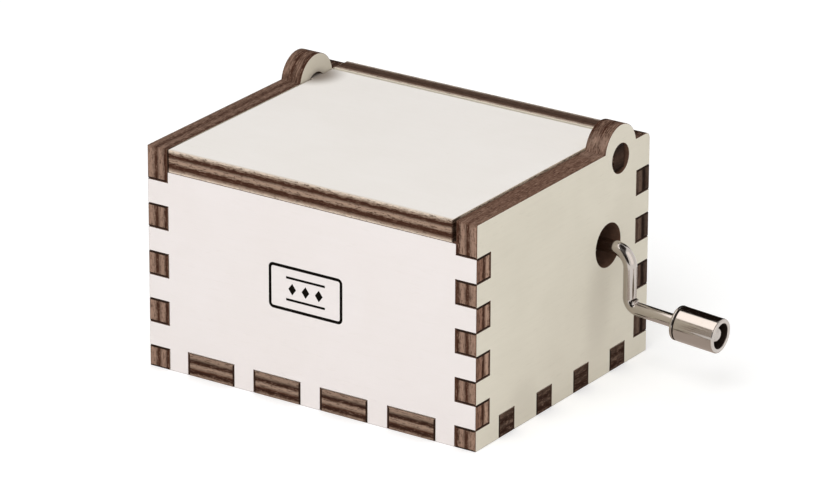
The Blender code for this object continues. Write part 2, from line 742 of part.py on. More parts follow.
def cylinder_cap(material, cylinder):
    """The plug that closes the cylinder's front end."""
    plug, bore = CYLINDER_BORE - SEAT_GAP, ARBOR_RADIUS + SEAT_GAP
    seat = CYLINDER_FRONT - SEAT_GAP
    profile = [(bore, CAP_FRONT), (CYLINDER_RADIUS, CAP_FRONT), (CYLINDER_RADIUS, seat), (plug, seat)]
    profile += [(plug, CYLINDER_FRONT + PLUG_LENGTH), (bore, CYLINDER_FRONT + PLUG_LENGTH)]
    return piece("cylinder_cap", turned(profile, ROUND_STEPS, (AXIS_X, 0, AXIS_Z), (0, 1, 0)), material, cylinder)


def cylinder_arbor(material, cylinder):
    """The axle through the cylinder, which turns in both brackets."""
    low, high = FRONT_SHEET_FRONT - ARBOR_END, REAR_SHEET_REAR + ARBOR_END
    place = (AXIS_X, 0, AXIS_Z)
    bar = rod_between(ARBOR_RADIUS, low, high, SMALL_STEPS, place, (0, 1, 0), ARBOR_CHAMFER)
    return piece("cylinder_arbor", bar, material, cylinder)


# Comb


def slot_depth(slot):
    """How far the slot after a note runs back from the tips: long teeth in the bass, short in the treble."""
    return BASS_LENGTH + (TREBLE_LENGTH - BASS_LENGTH) * slot / (NOTES - 2)


def comb(material):
    """The steel comb: thin teeth on a thick, screwed-down back, with weights under the bass tips."""
    front, rear = COMB_MIDDLE_Y - COMB_HALF_WIDTH, COMB_MIDDLE_Y + COMB_HALF_WIDTH
    first_edge, last_edge = note_y(0) - NOTE_PITCH / 2, note_y(NOTES - 1) + NOTE_PITCH / 2
    outline = [(COMB_REAR_X, front), (COMB_TIP_X - BASS_LENGTH, front)]
    outline += [(COMB_TIP_X - BASS_LENGTH, first_edge), (COMB_TIP_X, first_edge)]
    for slot in range(NOTES - 1):
        middle = (note_y(slot) + note_y(slot + 1)) / 2
        low, high = middle - SLOT_WIDTH / 2, middle + SLOT_WIDTH / 2
        end = COMB_TIP_X - slot_depth(slot)
        outline += [(COMB_TIP_X, low), (end, low), (end, high), (COMB_TIP_X, high)]
    outline += [(COMB_TIP_X, last_edge), (COMB_TIP_X - TREBLE_LENGTH, last_edge)]
    outline += [(COMB_TIP_X - TREBLE_LENGTH, rear), (COMB_REAR_X, rear)]
    obj = piece("comb", plate(outline, "xy", COMB_TOP - TOOTH_BLADE, COMB_TOP), material, smooth=False)
    bass_root = COMB_TIP_X - BASS_LENGTH - COMB_ROOT_STEP
    treble_root = COMB_TIP_X - TREBLE_LENGTH - COMB_ROOT_STEP
    back = [(COMB_REAR_X, front), (bass_root, front), (treble_root, rear), (COMB_REAR_X, rear)]
    shapes = [helper("comb_back", plate(back, "xy", COMB_BOTTOM, COMB_TOP - TOOTH_BLADE / 2))]
    weights = bmesh.new()
    half_tooth = (NOTE_PITCH - SLOT_WIDTH) / 2
    for note in range(WEIGHTED_NOTES):
        share = note / (WEIGHTED_NOTES - 1)
        depth = WEIGHT_DEEPEST + (WEIGHT_SHALLOWEST - WEIGHT_DEEPEST) * share
        right = COMB_TIP_X - WEIGHT_FROM_TIP
        low = (right - WEIGHT_LENGTH, note_y(note) - half_tooth, COMB_TOP - TOOTH_BLADE - depth)
        block(low, (right, note_y(note) + half_tooth, COMB_TOP - TOOTH_BLADE / 2), weights)
    shapes.append(helper("comb_weights", weights))
    combine(obj, "UNION", *shapes)
    radius = COMB_SCREW_RADIUS + SCREW_HOLE_GAP
    for name, y in comb_screw_places().items():
        place = (COMB_SCREW_X, y, 0)
        hole = drill(f"comb_hole_{name}", radius, COMB_BOTTOM - CUT_PAST, COMB_TOP + CUT_PAST, place, (0, 0, 1))
        combine(obj, "DIFFERENCE", hole)
    return obj


def comb_screw_places():
    """Where the comb's screws stand along its back."""
    return {"front": COMB_MIDDLE_Y - COMB_SCREW_SPREAD, "rear": COMB_MIDDLE_Y + COMB_SCREW_SPREAD}


# Bedplate and brackets


def front_bracket_screws():
    """Where the front bearing bracket's screws stand."""
    offset = FRONT_BRACKET_WIDTH / 2 - FRONT_SCREW_INSET
    y = FRONT_SHEET_FRONT - FOOT_LENGTH + FOOT_SCREW_FROM_END
    return {"left": (AXIS_X - offset, y), "right": (AXIS_X + offset, y)}


def worm_bracket_screws():
    """Where the worm bracket's screws stand."""
    offset = CHEEK_OUTSIDE - REAR_SCREW_INSET
    y = REAR_SHEET_REAR + REAR_FOOT_LENGTH - FOOT_SCREW_FROM_END
    return {"left": (AXIS_X - offset, y), "right": (AXIS_X + offset, y)}


def bedplate(material):
    """The cast plate that carries the movement: a comb pedestal, a window under the cylinder and screw bosses."""
    outline = rounded_rectangle((PLATE_LEFT, PLATE_FRONT), (PLATE_RIGHT, PLATE_REAR), PLATE_CORNER)
    obj = piece("bedplate", plate(outline, "xy", PLATE_BOTTOM, PLATE_TOP), material, smooth=False)
    half = COMB_HALF_WIDTH + PEDESTAL_MARGIN
    low = (COMB_REAR_X - PEDESTAL_MARGIN, COMB_MIDDLE_Y - half)
    high = (COMB_TIP_X - BASS_LENGTH - COMB_ROOT_STEP - PEDESTAL_SETBACK, COMB_MIDDLE_Y + half)
    pedestal = rounded_rectangle(low, high, PEDESTAL_CORNER)
    middle = (PLATE_BOTTOM + PLATE_TOP) / 2
    shapes = [helper("comb_pedestal", plate(pedestal, "xy", middle, COMB_BOTTOM - SEAT_GAP))]
    for name in ("front", "rear"):
        x, y = mounting_places()[name]
        boss = rod_between(BOSS_RADIUS, middle, PLATE_TOP + BOSS_HEIGHT, ROUND_STEPS, (x, y, 0), (0, 0, 1))
        shapes.append(helper(f"{name}_boss", boss))
    combine(obj, "UNION", *shapes)
    reach = CYLINDER_RADIUS + PIN_HEIGHT + WINDOW_CLEARANCE
    window = rounded_rectangle(
        (AXIS_X - reach, FRONT_SHEET_REAR), (AXIS_X + reach, REAR_SHEET_FRONT), WINDOW_CORNER
    )
    cuts = [helper("cylinder_window", plate(window, "xy", PLATE_BOTTOM - CUT_PAST, PLATE_TOP + CUT_PAST))]
    bore = SCREW_RADIUS + SEAT_GAP
    for bracket, places in (("bearing", front_bracket_screws()), ("worm", worm_bracket_screws())):
        for name, (x, y) in places.items():
            low_z, high_z = PLATE_BOTTOM - CUT_PAST, PLATE_TOP + CUT_PAST
            cuts.append(drill(f"{bracket}_{name}_tap", bore, low_z, high_z, (x, y, 0), (0, 0, 1)))
    bore = COMB_SCREW_RADIUS + SEAT_GAP
    bottom = COMB_TOP + SEAT_GAP - COMB_SCREW_LENGTH - SEAT_GAP
    for name, y in comb_screw_places().items():
        cuts.append(drill(f"comb_{name}_tap", bore, bottom, COMB_TOP, (COMB_SCREW_X, y, 0), (0, 0, 1)))
    bore = MOUNT_SCREW_RADIUS + SEAT_GAP
    top = MOUNT_HEAD_RECESS + MOUNT_SCREW_LENGTH + SEAT_GAP
    for name, (x, y) in mounting_places().items():
        cuts.append(drill(f"{name}_mount_tap", bore, PLATE_BOTTOM - CUT_PAST, top, (x, y, 0), (0, 0, 1)))
    return combine(obj, "DIFFERENCE", *cuts)


def sheet_angle(wall_face, foot_end, half_width):
    """An upright's foot, bent from the same sheet: an L with a round bend, extruded across."""
    low, high = PLATE_TOP + SEAT_GAP, PLATE_TOP + SEAT_GAP + SHEET
    way = math.copysign(1, foot_end - wall_face)
    inner = wall_face + way * BEND_RADIUS
    back = wall_face - way * SHEET
    bend = arc((0, 0), BEND_RADIUS + SHEET, math.pi, 3 * math.pi / 2, QUARTER_STEPS)
    crook = arc((0, 0), BEND_RADIUS, 3 * math.pi / 2, math.pi, QUARTER_STEPS)
    top = high + BEND_RADIUS
    outline = [(back, top + SHEET)]
    outline += [(inner + way * y, top + z) for y, z in bend]
    outline += [(foot_end, low), (foot_end, high)]
    outline += [(inner + way * y, top + z) for y, z in crook]
    outline += [(wall_face, top + SHEET)]
    return plate(outline, "yz", AXIS_X - half_width, AXIS_X + half_width)


def drilled_feet(obj, label, places):
    """Cuts the screw holes of a bracket's foot."""
    low, high = PLATE_TOP - CUT_PAST, PLATE_TOP + SEAT_GAP + SHEET + CUT_PAST
    for name, (x, y) in places.items():
        radius = SCREW_RADIUS + SCREW_HOLE_GAP
        combine(obj, "DIFFERENCE", drill(f"{label}_{name}_hole", radius, low, high, (x, y, 0), (0, 0, 1)))


def arbor_hole(label, low, high):
    """A cutter for the arbor's bearing hole."""
    return drill(f"{label}_bearing", ARBOR_RADIUS + RUN_GAP, low, high, (AXIS_X, 0, AXIS_Z), (0, 1, 0))


def bearing_bracket(material):
    """The front bracket: an upright with a round head that carries the arbor, on a bent foot."""
    half = FRONT_BRACKET_WIDTH / 2
    foot_top = PLATE_TOP + SEAT_GAP + SHEET + BEND_RADIUS
    head = arc((AXIS_X, AXIS_Z), BEARING_ROUND, 0, math.pi, 3 * QUARTER_STEPS)
    outline = [(AXIS_X - half, foot_top), (AXIS_X + half, foot_top), (AXIS_X + half, foot_top + SHEET)]
    outline += head + [(AXIS_X - half, foot_top + SHEET)]
    wall = plate(outline, "xz", FRONT_SHEET_FRONT, FRONT_SHEET_REAR)
    obj = piece("bearing_bracket", wall, material, smooth=False)
    foot = sheet_angle(FRONT_SHEET_FRONT, FRONT_SHEET_FRONT - FOOT_LENGTH, half)
    combine(obj, "UNION", helper("bearing_foot", foot))
    low, high = FRONT_SHEET_FRONT - CUT_PAST, FRONT_SHEET_REAR + CUT_PAST
    combine(obj, "DIFFERENCE", arbor_hole("front", low, high))
    drilled_feet(obj, "bearing", front_bracket_screws())
    return obj


def worm_bracket(material):
    """The rear bracket: it carries the arbor in its wall, notched round the worm, and the worm between two cheeks."""
    half = CHEEK_OUTSIDE
    foot_top = PLATE_TOP + SEAT_GAP + SHEET + BEND_RADIUS
    top = CRANK_HEIGHT + EAR_ROUND
    notch = THREAD_LENGTH / 2 + thread_section(WORM_PITCH_RADIUS - TOOTH_FALL) + WORM_NOTCH_CLEARANCE
    notch_floor = CRANK_HEIGHT - WORM_TIP_RADIUS - WORM_NOTCH_CLEARANCE
    outline = [(AXIS_X - half, foot_top), (AXIS_X + half, foot_top), (AXIS_X + half, top), (AXIS_X + notch, top)]
    outline += [(AXIS_X + notch, notch_floor), (AXIS_X - notch, notch_floor)]
    outline += [(AXIS_X - notch, top), (AXIS_X - half, top)]
    wall = plate(outline, "xz", REAR_SHEET_FRONT, REAR_SHEET_REAR)
    obj = piece("worm_bracket", wall, material, smooth=False)
    foot = sheet_angle(REAR_SHEET_REAR, REAR_SHEET_REAR + REAR_FOOT_LENGTH, half)
    shapes = [helper("worm_foot", foot)]
    middle = (REAR_SHEET_FRONT + REAR_SHEET_REAR) / 2
    cheek = [(middle, top)] + arc((CRANK_Y, CRANK_HEIGHT), EAR_ROUND, math.pi / 2, 3 * math.pi / 2, 2 * QUARTER_STEPS)
    cheek.append((middle, CRANK_HEIGHT - EAR_ROUND))
    for name, left in (("left", AXIS_X - CHEEK_OUTSIDE), ("right", AXIS_X + CHEEK_INSIDE)):
        shapes.append(helper(f"{name}_cheek", plate(cheek, "yz", left, left + SHEET)))
    combine(obj, "UNION", *shapes)
    place = (AXIS_X, CRANK_Y, CRANK_HEIGHT)
    reach = CHEEK_OUTSIDE + CUT_PAST
    shaft = drill("shaft_bearing", ROD_RADIUS + RUN_GAP, -reach, reach, place, (1, 0, 0))
    arbor = arbor_hole("rear", REAR_SHEET_FRONT - CUT_PAST, REAR_SHEET_REAR + CUT_PAST)
    combine(obj, "DIFFERENCE", shaft, arbor)
    drilled_feet(obj, "worm", worm_bracket_screws())
    return obj


# Screws


def slotted(obj, name, top, place, direction, radius):
    """Cuts the driver slot across a screw's head."""
    axis = Vector(direction)
    centre = Vector(place) + axis * top
    low = centre + Vector((-radius - CUT_PAST, -SCREW_SLOT / 2, 0)) + axis * (-SCREW_SLOT_DEPTH)
    high = centre + Vector((radius + CUT_PAST, SCREW_SLOT / 2, 0)) + axis * CUT_PAST
    bottom, upper = sorted((low.z, high.z))
    slot = block((low.x, low.y, bottom), (high.x, high.y, upper))
    return combine(obj, "DIFFERENCE", helper(f"{name}_slot", slot))


def pan_screw(name, place, radius, head, length, material):
    """A screw with a domed head, its seat at the place and its shank below."""
    profile = [(0, -length), (radius, -length), (radius, 0), (head, 0)]
    profile += [(head, SCREW_HEAD_HEIGHT - SCREW_HEAD_DOME), (head - SCREW_HEAD_DOME, SCREW_HEAD_HEIGHT)]
    profile += [(0, SCREW_HEAD_HEIGHT)]
    obj = piece(name, turned(profile, SMALL_STEPS, place, (0, 0, 1)), material)
    return slotted(obj, name, SCREW_HEAD_HEIGHT, place, (0, 0, 1), head)


def sunk_screw(name, place, material):
    """A countersunk screw that enters from below, its head's face at the place."""
    radius, head, length = MOUNT_SCREW_RADIUS, MOUNT_SCREW_HEAD, MOUNT_SCREW_LENGTH
    profile = [(0, 0), (head, 0), (radius, head - radius), (radius, length), (0, length)]
    obj = piece(name, turned(profile, SMALL_STEPS, place, (0, 0, 1)), material)
    return slotted(obj, name, 0, place, (0, 0, -1), head)


def screws(steel):
    """All the movement's screws."""
    for name, y in comb_screw_places().items():
        place = (COMB_SCREW_X, y, COMB_TOP + SEAT_GAP)
        pan_screw(f"comb_screw_{name}", place, COMB_SCREW_RADIUS, COMB_SCREW_HEAD, COMB_SCREW_LENGTH, steel)
    seat = PLATE_TOP + SEAT_GAP + SHEET + SEAT_GAP
    for bracket, places in (("bearing", front_bracket_screws()), ("worm", worm_bracket_screws())):
        for name, (x, y) in places.items():
            label = f"{bracket}_bracket_screw_{name}"
            pan_screw(label, (x, y, seat), SCREW_RADIUS, SCREW_HEAD_RADIUS, SHEET_SCREW_LENGTH, steel)
    for name, (x, y) in mounting_places().items():
        sunk_screw(f"mounting_screw_{name}", (x, y, MOUNT_HEAD_RECESS), steel)


def build():
    """Builds the whole part."""
    clear_scene()
    look = finishes()
    hinge = axis_empty("hinge_axis", (0, HINGE_Y, HINGE_Z), (1, 0, 0))
    crank = axis_empty("crank_axis", (0, CRANK_Y, CRANK_HEIGHT), (1, 0, 0))
    knob = axis_empty("knob_axis", knob_place(), leg_direction())
    cylinder = axis_empty("cylinder_axis", (AXIS_X, 0, AXIS_Z), (0, 1, 0))

    end_panel("front_panel", LID_BOTTOM - JOINT_GAP, -HALF_DEPTH, -INNER_HALF_DEPTH, look["ply"])
    end_panel("rear_panel", SIDE_HEIGHT, HALF_DEPTH, INNER_HALF_DEPTH, look["ply"])
    side_panel("left_panel", -HALF_WIDTH, -INNER_HALF_WIDTH, look["ply"])
    right = side_panel("right_panel", HALF_WIDTH, INNER_HALF_WIDTH, look["ply"])
    low, high = INNER_HALF_WIDTH - CUT_PAST, HALF_WIDTH + CUT_PAST
    port = drill("crank_port", CRANK_PORT, low, high, (0, CRANK_Y, CRANK_HEIGHT), (1, 0, 0), FINE_STEPS)
    combine(right, "DIFFERENCE", port)
    bottom_panel(look["ply"])
    lid(look["ply"], hinge)

    crank_rod(look["nickel"], crank)
    worm(look["brass"], crank)
    crank_knob(look["nickel"], knob)

    worm_wheel(look["nylon"], cylinder)
    pinned_cylinder(look["brass"], cylinder)
    cylinder_cap(look["nylon"], cylinder)
    cylinder_arbor(look["steel"], cylinder)

    comb(look["steel"])
    bedplate(look["zinc"])
    bearing_bracket(look["steel"])
    worm_bracket(look["steel"])
    screws(look["steel"])


build()
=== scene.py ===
"""The looks of the hand-cranked music box: its plywood case, its nickel crank and the movement inside.

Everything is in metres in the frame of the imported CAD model: X runs along the front towards the crank, Y to
the rear and Z up. Each piece but the label's lines stands for one CAD node and has that node's shape with its
corners rounded or its round faces made finer. Every piece rides on a CAD body.
"""

import logging
import math
from dataclasses import dataclass
from enum import Enum
from typing import Callable, Iterable, Optional, Union

import bmesh
import bpy
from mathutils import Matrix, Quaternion, Vector


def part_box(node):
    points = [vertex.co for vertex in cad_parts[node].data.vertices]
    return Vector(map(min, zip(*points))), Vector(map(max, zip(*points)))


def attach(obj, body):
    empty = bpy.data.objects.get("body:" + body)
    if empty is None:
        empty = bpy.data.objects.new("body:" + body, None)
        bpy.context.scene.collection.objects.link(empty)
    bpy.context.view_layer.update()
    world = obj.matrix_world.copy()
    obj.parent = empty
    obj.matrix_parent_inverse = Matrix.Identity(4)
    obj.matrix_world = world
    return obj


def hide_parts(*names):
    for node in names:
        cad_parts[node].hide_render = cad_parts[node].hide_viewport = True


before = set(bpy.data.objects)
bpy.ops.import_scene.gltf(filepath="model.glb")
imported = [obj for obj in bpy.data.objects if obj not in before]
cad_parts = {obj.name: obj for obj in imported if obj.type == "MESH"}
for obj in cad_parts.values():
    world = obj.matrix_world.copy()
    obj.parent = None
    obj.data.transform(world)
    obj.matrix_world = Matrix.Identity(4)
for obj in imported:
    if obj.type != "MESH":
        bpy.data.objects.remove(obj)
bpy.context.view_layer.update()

LOG = logging.getLogger("music_box")

Colour = tuple[float, float, float]
Stop = tuple[float, Colour]
Point = tuple[float, float, float]
Pair = tuple[float, float]
Setting = Union["Value", float, tuple[float, ...]]
Mesh = bmesh.types.BMesh
Edge = bmesh.types.BMEdge
Face = bmesh.types.BMFace
Material = bpy.types.Material


class Axis(Enum):
    """One axis of the frame, by its index."""

    X = 0
    Y = 1
    Z = 2

    def stretch(self, along: float, across: float) -> Point:
        """A noise's features per metre, some along this axis and others across it."""
        return tuple(along if axis is self else across for axis in Axis)


class Slot(Enum):
    """The record's material slots."""

    PLYWOOD = "plywood"
    ZINC = "cast_zinc"
    STEEL = "spring_steel"
    NICKEL = "nickel"
    BRASS = "brass"
    NYLON = "nylon"


# Shader maths


class Value:
    """A node's output socket with the arithmetic that the finishes write."""

    def __init__(self, sheet: "NodeSheet", socket: bpy.types.NodeSocket) -> None:
        """Keeps the socket and the sheet that its node lies on."""
        self.sheet = sheet
        self.socket = socket

    def part(self, output: Union[int, str]) -> "Value":
        """Another output of the same node."""
        return Value(self.sheet, self.socket.node.outputs[output])

    def _apply(self, operation: str, first: Setting, second: Setting) -> "Value":
        """Adds one Math node, or one Vector Math node where this socket carries a vector."""
        kind = "ShaderNodeVectorMath" if self.socket.type == "VECTOR" else "ShaderNodeMath"
        return self.sheet.add(kind, {"operation": operation}, {0: first, 1: second})

    def __add__(self, other: Setting) -> "Value":
        """This value plus another."""
        return self._apply("ADD", self, other)

    def __radd__(self, other: Setting) -> "Value":
        """Another value plus this one."""
        return self._apply("ADD", other, self)

    def __sub__(self, other: Setting) -> "Value":
        """This value less another."""
        return self._apply("SUBTRACT", self, other)

    def __rsub__(self, other: Setting) -> "Value":
        """Another value less this one."""
        return self._apply("SUBTRACT", other, self)

    def __mul__(self, other: Setting) -> "Value":
        """This value times another."""
        return self._apply("MULTIPLY", self, other)

    def __rmul__(self, other: Setting) -> "Value":
        """Another value times this one."""
        return self._apply("MULTIPLY", other, self)


class NodeSheet:
    """The node tree of a material or a world, written node by node."""

    def __init__(self, owner: Union[Material, bpy.types.World]) -> None:
        """Clears the owner's node tree.

        Args:
            owner: The material or world that gets the nodes.
        """
        owner.use_nodes = True
        self.owner = owner
        self.tree = owner.node_tree
        self.tree.nodes.clear()

    def add(
        self,
        kind: str,
        settings: Optional[dict[str, object]] = None,
        values: Optional[dict[Union[int, str], Setting]] = None,
        output: Union[int, str] = 0,
    ) -> Optional[Value]:
        """Adds one node.

        Args:
            kind: The node's type.
            settings: The node's own settings, and a ramp's stops, which are set first.
            values: The value or link of each socket, by its name or number.
            output: The output that is wanted.

        Returns:
            That output as a value, or nothing where the node has no outputs.
        """
        node = self.tree.nodes.new(kind)
        for name, setting in (settings or {}).items():
            if name == "stops":
                self._set_stops(node.color_ramp, setting)
            else:
                setattr(node, name, setting)
        for name, value in (values or {}).items():
            socket = node.inputs[name]
            if isinstance(value, Value):
                self.tree.links.new(value.socket, socket)
            elif socket.type == "RGBA":
                socket.default_value = (*value, 1.0)
            else:
                socket.default_value = value
        return Value(self, node.outputs[output]) if node.outputs else None

    @staticmethod
    def _set_stops(ramp: bpy.types.ColorRamp, stops: Iterable[Stop]) -> None:
        """Writes a ramp's stops.

        Args:
            ramp: The ramp.
            stops: Its stops, from low to high.
        """
        stops = list(stops)
        for _ in range(len(stops) - len(ramp.elements)):
            ramp.elements.new(0.5)
        for element, (position, colour) in zip(ramp.elements, stops):
            element.position = position
            element.color = (*colour, 1.0)

    def place(self) -> Value:
        """Where the surface point lies on its piece, which is its place in the frame at rest."""
        return self.add("ShaderNodeTexCoord", output="Object")

    def coordinate(self, axis: Axis) -> Value:
        """One coordinate of the surface point."""
        return self.add("ShaderNodeSeparateXYZ", values={0: self.place()}, output=axis.value)

    def noise(self, features: Point, octaves: float = 3.0, fade: float = 0.5, warp: float = 0.0) -> Value:
        """A noise between 0 and 1, with its features per metre along each axis."""
        sockets = {"Scale": 1.0, "Detail": octaves, "Roughness": fade, "Distortion": warp}
        return self.add("ShaderNodeTexNoise", values={"Vector": self.place() * features, **sockets})

    def between(self, value: Value, low: float, high: float) -> Value:
        """A smooth step from 0 to 1 as a value goes from low to high."""
        settings = {"interpolation_type": "SMOOTHSTEP", "clamp": True}
        return self.add("ShaderNodeMapRange", settings, {"Value": value, "From Min": low, "From Max": high})

    def mix(self, factor: Setting, first: Setting, second: Setting) -> Value:
        """Mixes two colours."""
        settings = {"data_type": "RGBA", "blend_type": "MIX", "clamp_factor": True}
        return self.add("ShaderNodeMix", settings, {0: factor, 6: first, 7: second}, output=2)

    def ramp(self, value: Value, stops: Iterable[Stop]) -> Value:
        """The colour of a ramp at a value."""
        return self.add("ShaderNodeValToRGB", {"stops": stops}, {"Fac": value})

    def bump(self, height: Value, depth: float) -> Value:
        """The surface's normal, raised and lowered by a height."""
        return self.add("ShaderNodeBump", values={"Height": height, "Distance": depth, "Strength": 1.0})

    def surface(self, **values: Setting) -> Material:
        """Ends the sheet with a Principled shader.

        Args:
            values: The shader's sockets, with _ for a space.

        Returns:
            The finished material.
        """
        sockets = {name.replace("_", " "): value for name, value in values.items()}
        shader = self.add("ShaderNodeBsdfPrincipled", values=sockets)
        self.add("ShaderNodeOutputMaterial", values={"Surface": shader})
        return self.owner


def new_sheet(name: str) -> NodeSheet:
    """An empty material's node sheet."""
    return NodeSheet(bpy.data.materials.new(name))


def scaled(colour: Colour, factor: float) -> Colour:
    """A colour made lighter or darker."""
    return tuple(channel * factor for channel in colour)


def even(features: float) -> Point:
    """The same number of features per metre along each axis."""
    return (features,) * len(Axis)


# Finishes


@dataclass(frozen=True)
class Smudge:
    """A soft patch of another tone on the wood."""

    centre: Point
    reach: Point
    depth: float
    tone: Colour = (0.252, 0.198, 0.149)

    def mask(self, sheet: NodeSheet) -> Value:
        """How much of the smudge lies on the surface point.

        Args:
            sheet: The node sheet that gets its nodes.

        Returns:
            Its cover, from 0 to its depth.
        """
        away = (sheet.place() - self.centre) * tuple(1 / reach for reach in self.reach)
        distance = sheet.add("ShaderNodeVectorMath", {"operation": "LENGTH"}, {0: away}, output="Value")
        return sheet.between(distance, 1.0, 0.2) * self.depth


@dataclass(frozen=True)
class Veneer:
    """The sanded birch face of a panel."""

    name: str
    tint: Colour
    grain: Axis
    contrast: float = 0.02
    toasted_front: Optional[float] = None
    toast: Colour = (0.730, 0.650, 0.565)
    smudges: tuple[Smudge, ...] = ()
    toast_width: float = 0.0007
    toast_waver: float = 0.0004
    dark_hue: Colour = (1.0, 0.995, 0.985)
    relief: float = 0.000012

    def material(self) -> Material:
        """Builds the material.

        Returns:
            The material, ready for a piece.
        """
        sheet = new_sheet(self.name)
        streaks = sheet.noise(self.grain.stretch(90.0, 1500.0), 4.0, 0.6)
        patches = sheet.noise(even(75.0), 2.0, 0.5, 0.6)
        pores = sheet.between(sheet.noise(self.grain.stretch(420.0, 3600.0), 1.0, 0.4), 0.66, 0.74)
        light = 0.5 + (streaks - 0.5) * 0.9 + (patches - 0.5) * 1.7 - pores * 0.5
        pale, dark = scaled(self.tint, 1 + self.contrast), scaled(self.tint, 1 - self.contrast)
        dark = tuple(channel * share for channel, share in zip(dark, self.dark_hue))
        colour = sheet.mix(light, dark, pale)
        if self.toasted_front is not None:
            edge = sheet.coordinate(Axis.Y) - self.toasted_front + (streaks - 0.5) * self.toast_waver
            colour = sheet.mix(1 - sheet.between(edge, 0.0, self.toast_width), colour, self.toast)
        for smudge in self.smudges:
            colour = sheet.mix(smudge.mask(sheet), colour, smudge.tone)
        fibre = sheet.noise(self.grain.stretch(250.0, 5200.0), 3.0, 0.6)
        return sheet.surface(
            Base_Color=colour,
            Roughness=0.60 + (streaks - 0.5) * 0.15,
            Specular_IOR_Level=0.25,
            Normal=sheet.bump(fibre + pores * -0.6, self.relief),
        )


MEDIUM_BROWN = (0.235, 0.126, 0.085)
DARK_BROWN = (0.052, 0.021, 0.012)
MOTTLED_BROWN = (0.310, 0.198, 0.144)
PALE_TAN = (0.600, 0.490, 0.390)
GREY_TAN = (0.300, 0.205, 0.150)
BLACK_BROWN = scaled(DARK_BROWN, 0.4)


def cut_veneers(*rows: tuple[float, Colour, float]) -> tuple[Stop, ...]:
    """A ramp's stops from the depth of each, its brown and how light that brown is there."""
    return tuple((depth, scaled(brown, light)) for depth, brown, light in rows)


PANEL_LAYERS = cut_veneers(
    (0.00, DARK_BROWN, 2.0),
    (0.05, MOTTLED_BROWN, 1.0),
    (0.22, MOTTLED_BROWN, 0.95),
    (0.31, MOTTLED_BROWN, 0.70),
    (0.37, MEDIUM_BROWN, 0.50),
    (0.42, DARK_BROWN, 1.15),
    (0.49, DARK_BROWN, 1.15),
    (0.56, MOTTLED_BROWN, 0.62),
    (0.62, MOTTLED_BROWN, 0.97),
    (0.74, MOTTLED_BROWN, 0.97),
    (0.81, MOTTLED_BROWN, 0.60),
    (0.87, DARK_BROWN, 1.0),
    (0.95, DARK_BROWN, 1.15),
    (1.00, DARK_BROWN, 1.8),
)

FRONT_LAYERS = cut_veneers(
    (0.00, DARK_BROWN, 2.4),
    (0.05, MEDIUM_BROWN, 0.95),
    (0.14, MEDIUM_BROWN, 0.85),
    (0.28, MEDIUM_BROWN, 1.25),
    (0.38, MEDIUM_BROWN, 1.20),
    (0.45, DARK_BROWN, 1.3),
    (0.52, DARK_BROWN, 1.0),
    (0.58, DARK_BROWN, 1.8),
    (0.67, MOTTLED_BROWN, 1.20),
    (0.73, MOTTLED_BROWN, 1.65),
    (0.85, MOTTLED_BROWN, 1.65),
    (0.90, MOTTLED_BROWN, 0.90),
    (0.96, DARK_BROWN, 1.3),
    (1.00, DARK_BROWN, 1.0),
)

LID_LAYERS = cut_veneers(
    (0.00, PALE_TAN, 1.30),
    (0.04, PALE_TAN, 1.10),
    (0.08, PALE_TAN, 0.70),
    (0.12, GREY_TAN, 1.05),
    (0.16, GREY_TAN, 0.70),
    (0.21, DARK_BROWN, 1.1),
    (0.32, DARK_BROWN, 1.1),
    (0.37, GREY_TAN, 0.70),
    (0.43, GREY_TAN, 1.20),
    (0.51, GREY_TAN, 1.20),
    (0.57, GREY_TAN, 0.80),
    (0.62, DARK_BROWN, 1.3),
    (0.67, DARK_BROWN, 1.1),
    (0.78, DARK_BROWN, 1.1),
    (0.83, GREY_TAN, 0.70),
    (0.88, GREY_TAN, 1.05),
    (0.94, PALE_TAN, 0.95),
    (1.00, PALE_TAN, 1.50),
)

TAB_LAYERS = cut_veneers(
    (0.00, GREY_TAN, 0.90),
    (0.09, GREY_TAN, 0.85),
    (0.11, GREY_TAN, 0.50),
    (0.15, DARK_BROWN, 1.2),
    (0.20, DARK_BROWN, 0.6),
    (0.27, DARK_BROWN, 0.7),
    (0.32, DARK_BROWN, 1.5),
    (0.38, GREY_TAN, 0.70),
    (0.44, GREY_TAN, 1.06),
    (0.50, GREY_TAN, 1.12),
    (0.56, GREY_TAN, 0.70),
    (0.60, DARK_BROWN, 1.2),
    (0.65, DARK_BROWN, 0.6),
    (0.71, DARK_BROWN, 0.7),
    (0.77, GREY_TAN, 0.50),
    (0.84, GREY_TAN, 0.90),
    (1.00, GREY_TAN, 1.0),
)

REAR_LAYERS = cut_veneers(
    (0.00, MOTTLED_BROWN, 0.30),
    (0.15, MOTTLED_BROWN, 0.26),
    (0.28, MOTTLED_BROWN, 0.22),
    (0.36, DARK_BROWN, 0.20),
    (0.50, DARK_BROWN, 0.20),
    (0.57, MOTTLED_BROWN, 0.24),
    (0.64, MOTTLED_BROWN, 0.46),
    (0.77, MOTTLED_BROWN, 0.46),
    (0.85, MOTTLED_BROWN, 0.27),
    (1.00, MOTTLED_BROWN, 0.24),
)

OILY_BROWN = (0.014, 0.008, 0.005)
TENON_BROWN = (0.058, 0.033, 0.022)
TENON_LAYERS = cut_veneers((0.0, OILY_BROWN, 1.0), (0.5, TENON_BROWN, 1.0), (1.0, OILY_BROWN, 1.0))


